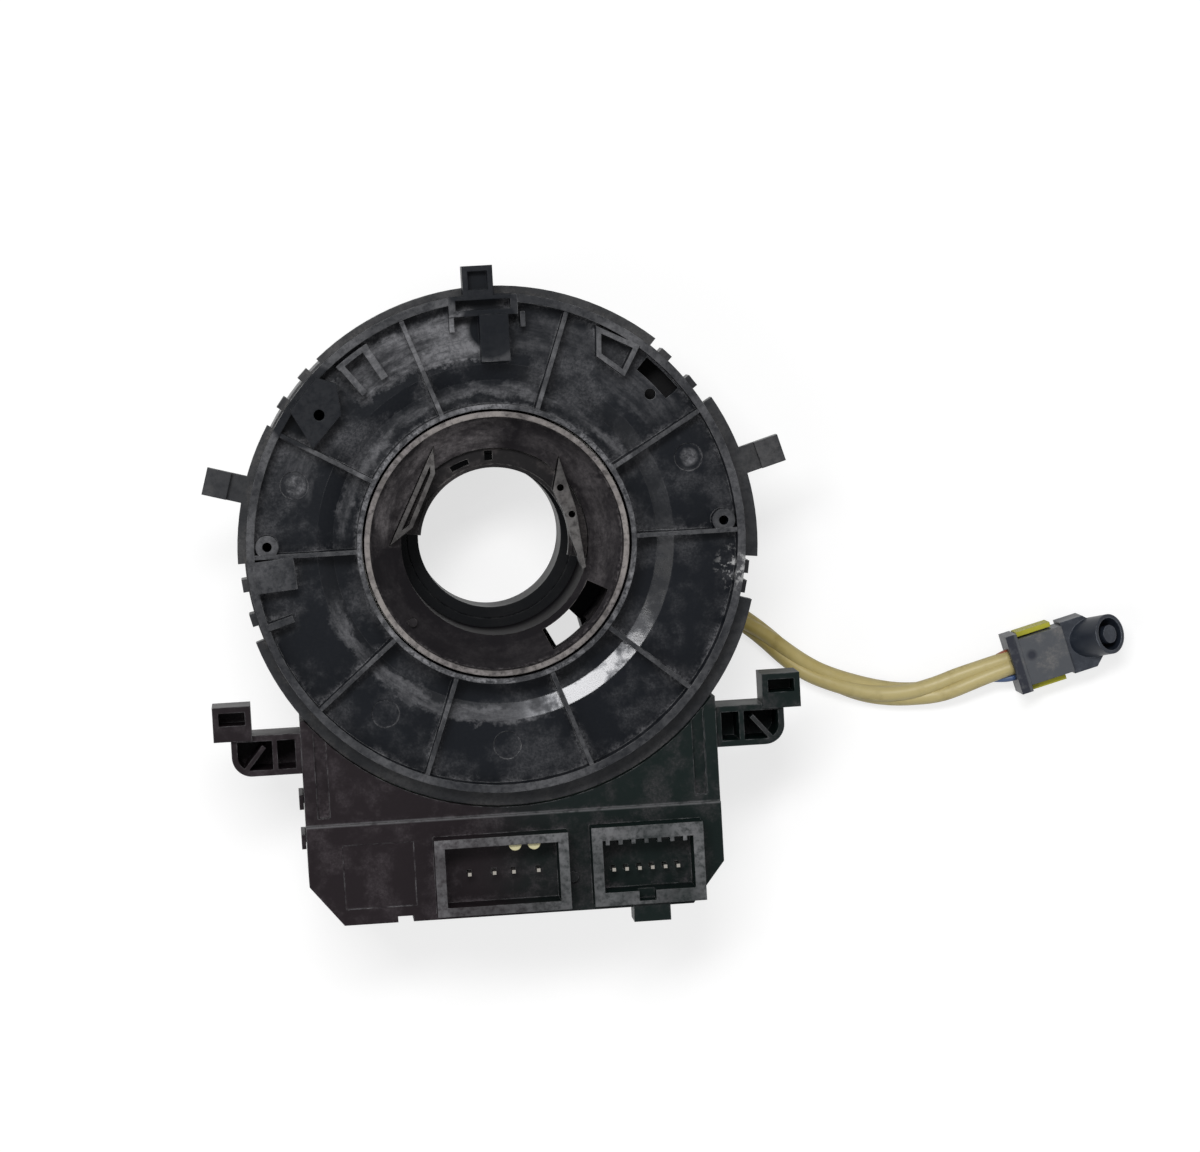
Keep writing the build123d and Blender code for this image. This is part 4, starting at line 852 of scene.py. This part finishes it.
CORD_YELLOW = WireSleeve("cord_yellow_sleeve", "cord_yellow", (0.45, 0.40, 0.16))
WIRE_RUST = WireSleeve(
    "wire_rust_sleeve", "cord_yellow", (0.25, 0.07, 0.03),
    near=(0.20, 0.05, 0.03), far=(0.28, 0.08, 0.04),
)
WIRE_BLUE = WireSleeve(
    "wire_blue_sleeve", "cord_yellow", (0.04, 0.07, 0.16),
    near=(0.03, 0.05, 0.13), far=(0.05, 0.09, 0.20),
)


# Surfaces


def surface(
    name: str, grid: np.ndarray, wrap: bool = True, capped: bool = True, ring: bool = False
) -> bpy.types.Object:
    """Makes a mesh of a grid of points, with a quad between every four neighbours.

    Args:
        name: The new object's name.
        grid: Points of shape (rows, columns, 3).
        wrap: Whether the last column joins the first.
        capped: Whether the first and last row are closed by one face each.
        ring: Whether the last row joins the first.

    Returns:
        The object, at the origin, with a map named run: u along the rows, v round the columns.
    """
    rows, columns = grid.shape[:2]
    index = np.arange(rows * columns).reshape(rows, columns)
    if ring:
        index = np.concatenate([index, index[:1]])
    right = np.roll(index, -1, axis=1) if wrap else index[:, 1:]
    left = index if wrap else index[:, :-1]
    quads = np.stack([left[:-1], right[:-1], right[1:], left[1:]], axis=-1).reshape(-1, 4)
    faces = quads.tolist()
    if capped and wrap:
        faces += [index[0, ::-1].tolist(), index[-1].tolist()]
    mesh = bpy.data.meshes.new(name)
    mesh.from_pydata(grid.reshape(-1, 3), [], faces)
    point = np.empty(len(mesh.loops), dtype=np.int32)
    mesh.loops.foreach_get("vertex_index", point)
    run = np.stack([point // columns / max(rows - 1, 1), point % columns / columns], axis=-1)
    mesh.uv_layers.new(name="run").data.foreach_set("uv", run.astype(np.float32).ravel())
    mesh.shade_smooth()
    mesh.update()
    piece = bpy.data.objects.new(name, mesh)
    bpy.context.scene.collection.objects.link(piece)
    return piece


def frames(path: np.ndarray) -> tuple[np.ndarray, np.ndarray]:
    """Side and upper directions along a path that never stands upright.

    The side is the cross product of tangent and +Z, and the upper one that of side and tangent.

    Args:
        path: Points of shape (n, 3).

    Returns:
        Two arrays of unit vectors of shape (n, 3).
    """
    tangent = np.gradient(path, axis=0)
    tangent /= np.linalg.norm(tangent, axis=1, keepdims=True)
    side = np.cross(tangent, (0.0, 0.0, 1.0))
    side /= np.linalg.norm(side, axis=1, keepdims=True)
    return side, np.cross(side, tangent)


def tube_grid(path: np.ndarray, radius: np.ndarray, sides: int) -> np.ndarray:
    """Points of a round tube: path plus radius times the turned side and upper directions.

    Args:
        path: Points of shape (n, 3).
        radius: One radius for each point.
        sides: Points round the tube.

    Returns:
        A grid of shape (n, sides, 3).
    """
    side, upper = frames(path)
    turn = np.linspace(0.0, 2.0 * math.pi, sides, endpoint=False)
    turn = turn[None, :, None]
    ring = np.cos(turn) * side[:, None] + np.sin(turn) * upper[:, None]
    return path[:, None] + radius[:, None, None] * ring


def join(name: str, pieces: Sequence[bpy.types.Object]) -> bpy.types.Object:
    """Joins pieces into the first one and names the result.

    Args:
        name: What the joined piece is called.
        pieces: The pieces, first the one that is kept.

    Returns:
        The joined piece.
    """
    for piece in bpy.context.selected_objects:
        piece.select_set(False)
    for piece in pieces:
        piece.select_set(True)
    bpy.context.view_layer.objects.active = pieces[0]
    bpy.ops.object.join()
    pieces[0].name = name
    return pieces[0]


@dataclass
class Workshop:
    """What every sub-assembly needs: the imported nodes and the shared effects."""

    nodes: dict[str, bpy.types.Object]
    effects: Effects

    def coat(self, finish: Finish, *names: str) -> None:
        """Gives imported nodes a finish.

        Args:
            finish: The finish.
            *names: The nodes' names.
        """
        for name in names:
            mesh = self.nodes[name].data
            mesh.materials.clear()
            mesh.materials.append(finish.material(self.effects))

    def settle(self, piece: bpy.types.Object, body: Body, finish: Finish) -> None:
        """Dresses a new piece and lets it ride on its body.

        Args:
            piece: The new piece.
            body: The body that carries it.
            finish: Its finish.
        """
        piece.data.materials.clear()
        piece.data.materials.append(finish.material(self.effects))
        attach(piece, body.value)


# Camera and studio


@dataclass
class PhotoCamera:
    """The reference view's camera: nearly straight down, a little from the upper left."""

    eye: Point = (-0.044, 0.053, 0.944)
    target: Point = (0.020245, -0.007679, 0.044)
    up: Point = (0.0558, 0.9984, 0.0)
    lens: float = 135.494
    film: float = 36.0

    def build(self) -> None:
        """Makes the camera and makes it the scene's own."""
        data = bpy.data.cameras.new("photo_camera")
        data.lens = self.lens
        data.sensor_width = self.film
        data.sensor_fit = "HORIZONTAL"
        data.clip_start = 0.01
        camera = bpy.data.objects.new("photo_camera", data)
        ahead = (Vector(self.target) - Vector(self.eye)).normalized()
        right = ahead.cross(Vector(self.up)).normalized()
        above = right.cross(ahead)
        turn = Matrix((right, above, -ahead)).transposed().to_4x4()
        camera.matrix_world = Matrix.Translation(self.eye) @ turn
        bpy.context.scene.collection.objects.link(camera)
        bpy.context.scene.camera = camera


@dataclass(frozen=True)
class Lamp:
    """A soft rectangular lamp: where it hangs, what it points at, its watts, width and height."""

    name: str
    place: Point
    aim: Point
    power: float
    size: tuple[float, float]

    def build(self) -> None:
        """Makes the lamp."""
        data = bpy.data.lights.new(self.name, "AREA")
        data.shape = "RECTANGLE"
        data.size, data.size_y = self.size
        data.energy = self.power
        lamp = bpy.data.objects.new(self.name, data)
        way = Vector(self.aim) - Vector(self.place)
        turn = way.to_track_quat("-Z", "Y").to_matrix().to_4x4()
        lamp.matrix_world = Matrix.Translation(self.place) @ turn
        bpy.context.scene.collection.objects.link(lamp)


@dataclass
class Studio:
    """A plain pale floor, a pale surround and soft lamps."""

    lamps: tuple[Lamp, ...] = (
        Lamp("window_lamp", (-0.16, 0.41, 1.10), (0.0, 0.0, 0.03), power=8.5, size=(0.56, 0.20)),
        Lamp("fill_lamp", (0.85, -0.45, 0.75), (0.02, -0.03, 0.02), power=1.5, size=(0.6, 0.6)),
        Lamp("top_lamp", (-0.65, -0.25, 1.00), (0.0, 0.0, 0.03), power=2.5, size=(0.5, 0.5)),
    )
    floor_half: float = 3.0
    floor_drop: float = 0.0001
    floor_colour: Colour = (0.36, 0.36, 0.36)
    floor_glow: float = 0.70
    world_strength: float = 0.25

    def build(self) -> None:
        """Sets the plain view transform, then makes the floor, the surround and the lamps."""
        bpy.context.scene.view_settings.view_transform = "Standard"
        self._floor()
        self._surround()
        for lamp in self.lamps:
            lamp.build()

    @staticmethod
    def _shown(graph: Graph) -> Socket:
        """1 for camera, glossy and transmitted rays, which see the white background, else 0."""
        path = graph.add("ShaderNodeLightPath").outputs
        return graph.most([path[f"Is {kind} Ray"] for kind in ("Camera", "Glossy", "Transmission")])

    def _floor(self) -> None:
        """A large square just under the part, which glows a little where it is seen."""
        half = self.floor_half
        low = -self.floor_drop
        near = [(-half, -half, low), (half, -half, low)]
        far = [(-half, half, low), (half, half, low)]
        grid = np.array([near, far])
        floor = surface("studio_floor", grid, wrap=False, capped=False)
        material = bpy.data.materials.new("studio_floor_paper")
        material.use_nodes = True
        material.node_tree.nodes.clear()
        graph = Graph(material.node_tree)
        paper = graph.add("ShaderNodeBsdfDiffuse", {"Color": (*self.floor_colour, 1.0)})
        strength = graph.product(self._shown(graph), self.floor_glow)
        glow = graph.add("ShaderNodeEmission", {"Strength": strength})
        both = graph.add("ShaderNodeAddShader", {0: paper.outputs[0], 1: glow.outputs[0]})
        graph.add("ShaderNodeOutputMaterial", {"Surface": both.outputs[0]})
        floor.data.materials.append(material)

    def _surround(self) -> None:
        """White where it is seen, and dimmer as a light."""
        world = bpy.data.worlds.new("studio_surround")
        bpy.context.scene.world = world
        world.use_nodes = True
        world.node_tree.nodes.clear()
        graph = Graph(world.node_tree)
        strength = graph.mix(self._shown(graph), self.world_strength, 1.0)
        white = (1.0, 1.0, 1.0, 1.0)
        sky = graph.add("ShaderNodeBackground", {"Color": white, "Strength": strength})
        graph.add("ShaderNodeOutputWorld", {"Surface": sky.outputs[0]})


# Sub-assemblies


@dataclass
class AirbagCord:
    """The short yellow cord: a loose twist of thin wires from under the disc to its plug.

    A start and a length that aren't in metres are shares of the way along the cord.
    """

    route: tuple[Point, ...] = (
        (0.0250, -0.0182, 0.0044),
        (0.0352, -0.0159, 0.0044),
        (0.0460, -0.0173, 0.0035),
        (0.0550, -0.0229, 0.0026),
        (0.0642, -0.0319, 0.0023),
        (0.0718, -0.0360, 0.00224),
        (0.0810, -0.0389, 0.00224),
        (0.0910, -0.0391, 0.0029),
        (0.1000, -0.0364, 0.0048),
        (0.1086, -0.0342, 0.0048),
    )
    length: float = 0.0911
    diameter: float = 0.0044
    strands: int = 3
    strand_share: float = 0.305
    turns: float = 0.85
    sides: int = 24
    swell: float = 0.24
    swell_start: float = 0.10
    swell_length: float = 0.45
    fan: float = 0.35
    fan_start: float = 0.78
    fan_length: float = 0.12
    fan_flat: float = 1.5
    wander: float = 0.03
    wander_rate: float = 19.0
    wander_shift: float = 2.1
    lead_share: int = 12
    lead_side: float = 0.0027
    lead_rise: float = 0.0006
    lead_radius: float = 0.00072
    lead_sides: int = 14

    def line(self) -> np.ndarray:
        """Reads evenly spaced points from the route's smooth spline.

        Returns:
            Points of shape (n, 3).
        """
        curve = bpy.data.curves.new("cord_route", "CURVE")
        curve.dimensions = "3D"
        spline = curve.splines.new("NURBS")
        spline.points.add(len(self.route) - 1)
        weighted = np.column_stack([np.array(self.route), np.ones(len(self.route))])
        spline.points.foreach_set("co", weighted.astype(np.float32).ravel())
        spline.order_u = 3
        spline.use_endpoint_u = True
        spline.resolution_u = 24
        guide = bpy.data.objects.new("cord_route", curve)
        bpy.context.scene.collection.objects.link(guide)
        bpy.context.view_layer.update()
        mesh = bpy.data.meshes.new_from_object(guide)
        points = np.empty(len(mesh.vertices) * 3, dtype=np.float32)
        mesh.vertices.foreach_get("co", points)
        bpy.data.meshes.remove(mesh)
        bpy.data.objects.remove(guide)
        return points.reshape(-1, 3).astype(float)

    def build(self, shop: Workshop) -> None:
        """Each strand's centre is the line plus an offset that turns slowly with the way along it,
        wide and low near the plug where the wires fan out.

        Args:
            shop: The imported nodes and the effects.
        """
        path = self.line()
        side, upper = frames(path)
        way = np.linspace(0.0, 1.0, len(path))
        swell = 1.0 + self.swell * np.clip((way - self.swell_start) / self.swell_length, 0.0, 1.0)
        raised = path + ((swell - 1.0) * self.diameter / 2)[:, None] * upper
        thin = self.strand_share * self.diameter * swell
        offset = self.diameter / 2 * swell - thin
        fan = 1.0 + self.fan * np.clip((way - self.fan_start) / self.fan_length, 0.0, 1.0)
        pieces = []
        for number in range(self.strands):
            wander = self.wander * np.sin(self.wander_rate * way + self.wander_shift * number)
            angle = 2.0 * math.pi * (number / self.strands + self.turns * way + wander)
            across = (offset * fan * np.cos(angle))[:, None] * side
            above = (offset * np.sin(angle) / fan**self.fan_flat)[:, None] * upper
            strand = tube_grid(raised + across + above, thin, self.sides)
            pieces.append(surface(f"cord_strand_{number}", strand))
        bundle = join("airbag_cord_bundle", pieces)
        shop.settle(bundle, Body.ROTOR, CORD_YELLOW)
        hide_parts("airbag_cord")
        leads = [
            self._lead(shop, path, "lead_rust", -self.lead_side, WIRE_RUST),
            self._lead(shop, path, "lead_blue", self.lead_side, WIRE_BLUE),
        ]

    def _lead(
        self, shop: Workshop, path: np.ndarray, name: str, shift: float, finish: Finish
    ) -> bpy.types.Object:
        """One thin wire that comes out of the bundle's side and enters the plug's rear.

        Its line is the cord's last stretch, moved sideways by the shift with a smooth start.

        Args:
            shop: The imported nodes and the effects.
            path: The cord's line.
            name: The wire's name.
            shift: How far it stands to the side at the plug, in metres.
            finish: The wire's sleeve.

        Returns:
            The wire.
        """
        count = max(8, len(path) // self.lead_share)
        stretch = path[-count:]
        side, upper = frames(stretch)
        rise = np.linspace(0.0, 1.0, count)
        smooth = (rise * rise * (3.0 - 2.0 * rise))[:, None]
        line = stretch + shift * smooth * side + self.lead_rise * smooth * upper
        wire = surface(name, tube_grid(line, np.full(count, self.lead_radius), self.lead_sides))
        shop.settle(wire, Body.ROTOR, finish)
        return wire


@dataclass
class Dressed:
    """A sub-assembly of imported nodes, with the nodes that get each finish."""

    coats: ClassVar[dict[Finish, tuple[str, ...]]] = {}

    def build(self, shop: Workshop) -> None:
        """Coats the nodes."""
        for finish, names in self.coats.items():
            shop.coat(finish, *names)


@dataclass
class Plug(Dressed):
    """The squib plug: grey body, dark head with a leaning barrel, yellow lock."""

    coats = {PLUG_GREY: ("plug_body",), PLUG_DARK: ("plug_head",), LOCK_YELLOW: ("plug_lock",)}


@dataclass
class Rotor(Dressed):
    """The turning half: disc and hub, rear sleeve with its dusty dish, column key."""

    coats = {
        ROTOR_BLACK: ("rear_sleeve",),
        KEY_BLACK: ("column_key",),
        DISC_BLACK: ("hub_tube", "rotor_disc", "wheel_shroud", "cord_grip"),
        INNER_BLACK: ("rotor_terminal_block",),
        GEAR_WHITE: ("drive_gear",),
        PIN_METAL: ("wheel_pins",),
    }
    seam_radius: float = 0.01705
    seam_half: float = 0.00012
    seam_rise: float = 0.0004
    seam_level: float = 0.0134
    seam_steps: int = 128
    seam_sides: int = 12

    def build(self, shop: Workshop) -> None:
        """Coats the rotor's nodes and adds the seam."""
        super().build(shop)
        self._seam(shop)

    def _seam(self, shop: Workshop) -> None:
        """Makes the weld bead between the hub tube and the disc.

        A small ellipse in r and z is carried once round the axis: x = r cos t and y = r sin t.

        Args:
            shop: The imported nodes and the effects.
        """
        round_axis = np.linspace(0.0, 2.0 * math.pi, self.seam_steps, endpoint=False)
        section = np.linspace(0.0, 2.0 * math.pi, self.seam_sides, endpoint=False)
        radius = self.seam_radius + self.seam_half * np.cos(section)
        height = self.seam_level - self.seam_rise * np.sin(section)
        across, along = np.outer(np.cos(round_axis), radius), np.outer(np.sin(round_axis), radius)
        grid = np.stack([across, along, np.broadcast_to(height, across.shape)], axis=-1)
        bead = surface("hub_seam", grid, capped=False, ring=True)
        shop.settle(bead, Body.ROTOR, DISC_BLACK)


@dataclass
class CableCase(Dressed):
    """The fixed ring: ribbed back cover, outer case and the wound cable between them."""

    coats = {
        CASE_BLACK: ("back_cover",),
        OUTER_BLACK: ("outer_case",),
        CABLE_FILM: ("flat_cable",),
        INNER_BLACK: ("partition_plate", "stator_terminal_block"),
    }


@dataclass
class SensorBox(Dressed):
    """The connector box: housing, front cover, board, measuring gears and sockets."""

    coats = {
        HOUSING_BLACK: ("sensor_housing", "sensor_front_cover"),
        BOARD_GREEN: ("circuit_board",),
        CHIP_BLACK: ("angle_sensor_chips", "control_chip"),
        PIN_METAL: ("airbag_pins", "signal_pins"),
        CLIP_IVORY: ("coding_clips",),
        GEAR_WHITE: ("measuring_gear_a", "measuring_gear_b"),
        MAGNET_DARK: ("magnet_a", "magnet_b"),
    }


def main() -> None:
    """Builds the scene in order."""
    logging.basicConfig(level=logging.INFO, format="%(name)s %(message)s")
    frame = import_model()
    PhotoCamera().build()
    LOG.info("camera placed")
    effects = Effects()
    effects.build()
    shop = Workshop(frame["nodes"], effects)
    AirbagCord().build(shop)
    LOG.info("cord twisted")
    for assembly in (Plug(), Rotor(), CableCase(), SensorBox()):
        assembly.build(shop)
        LOG.info("%s dressed", type(assembly).__name__)
    Studio().build()
    LOG.info("studio lit")


if __name__ == "__main__":
    main()
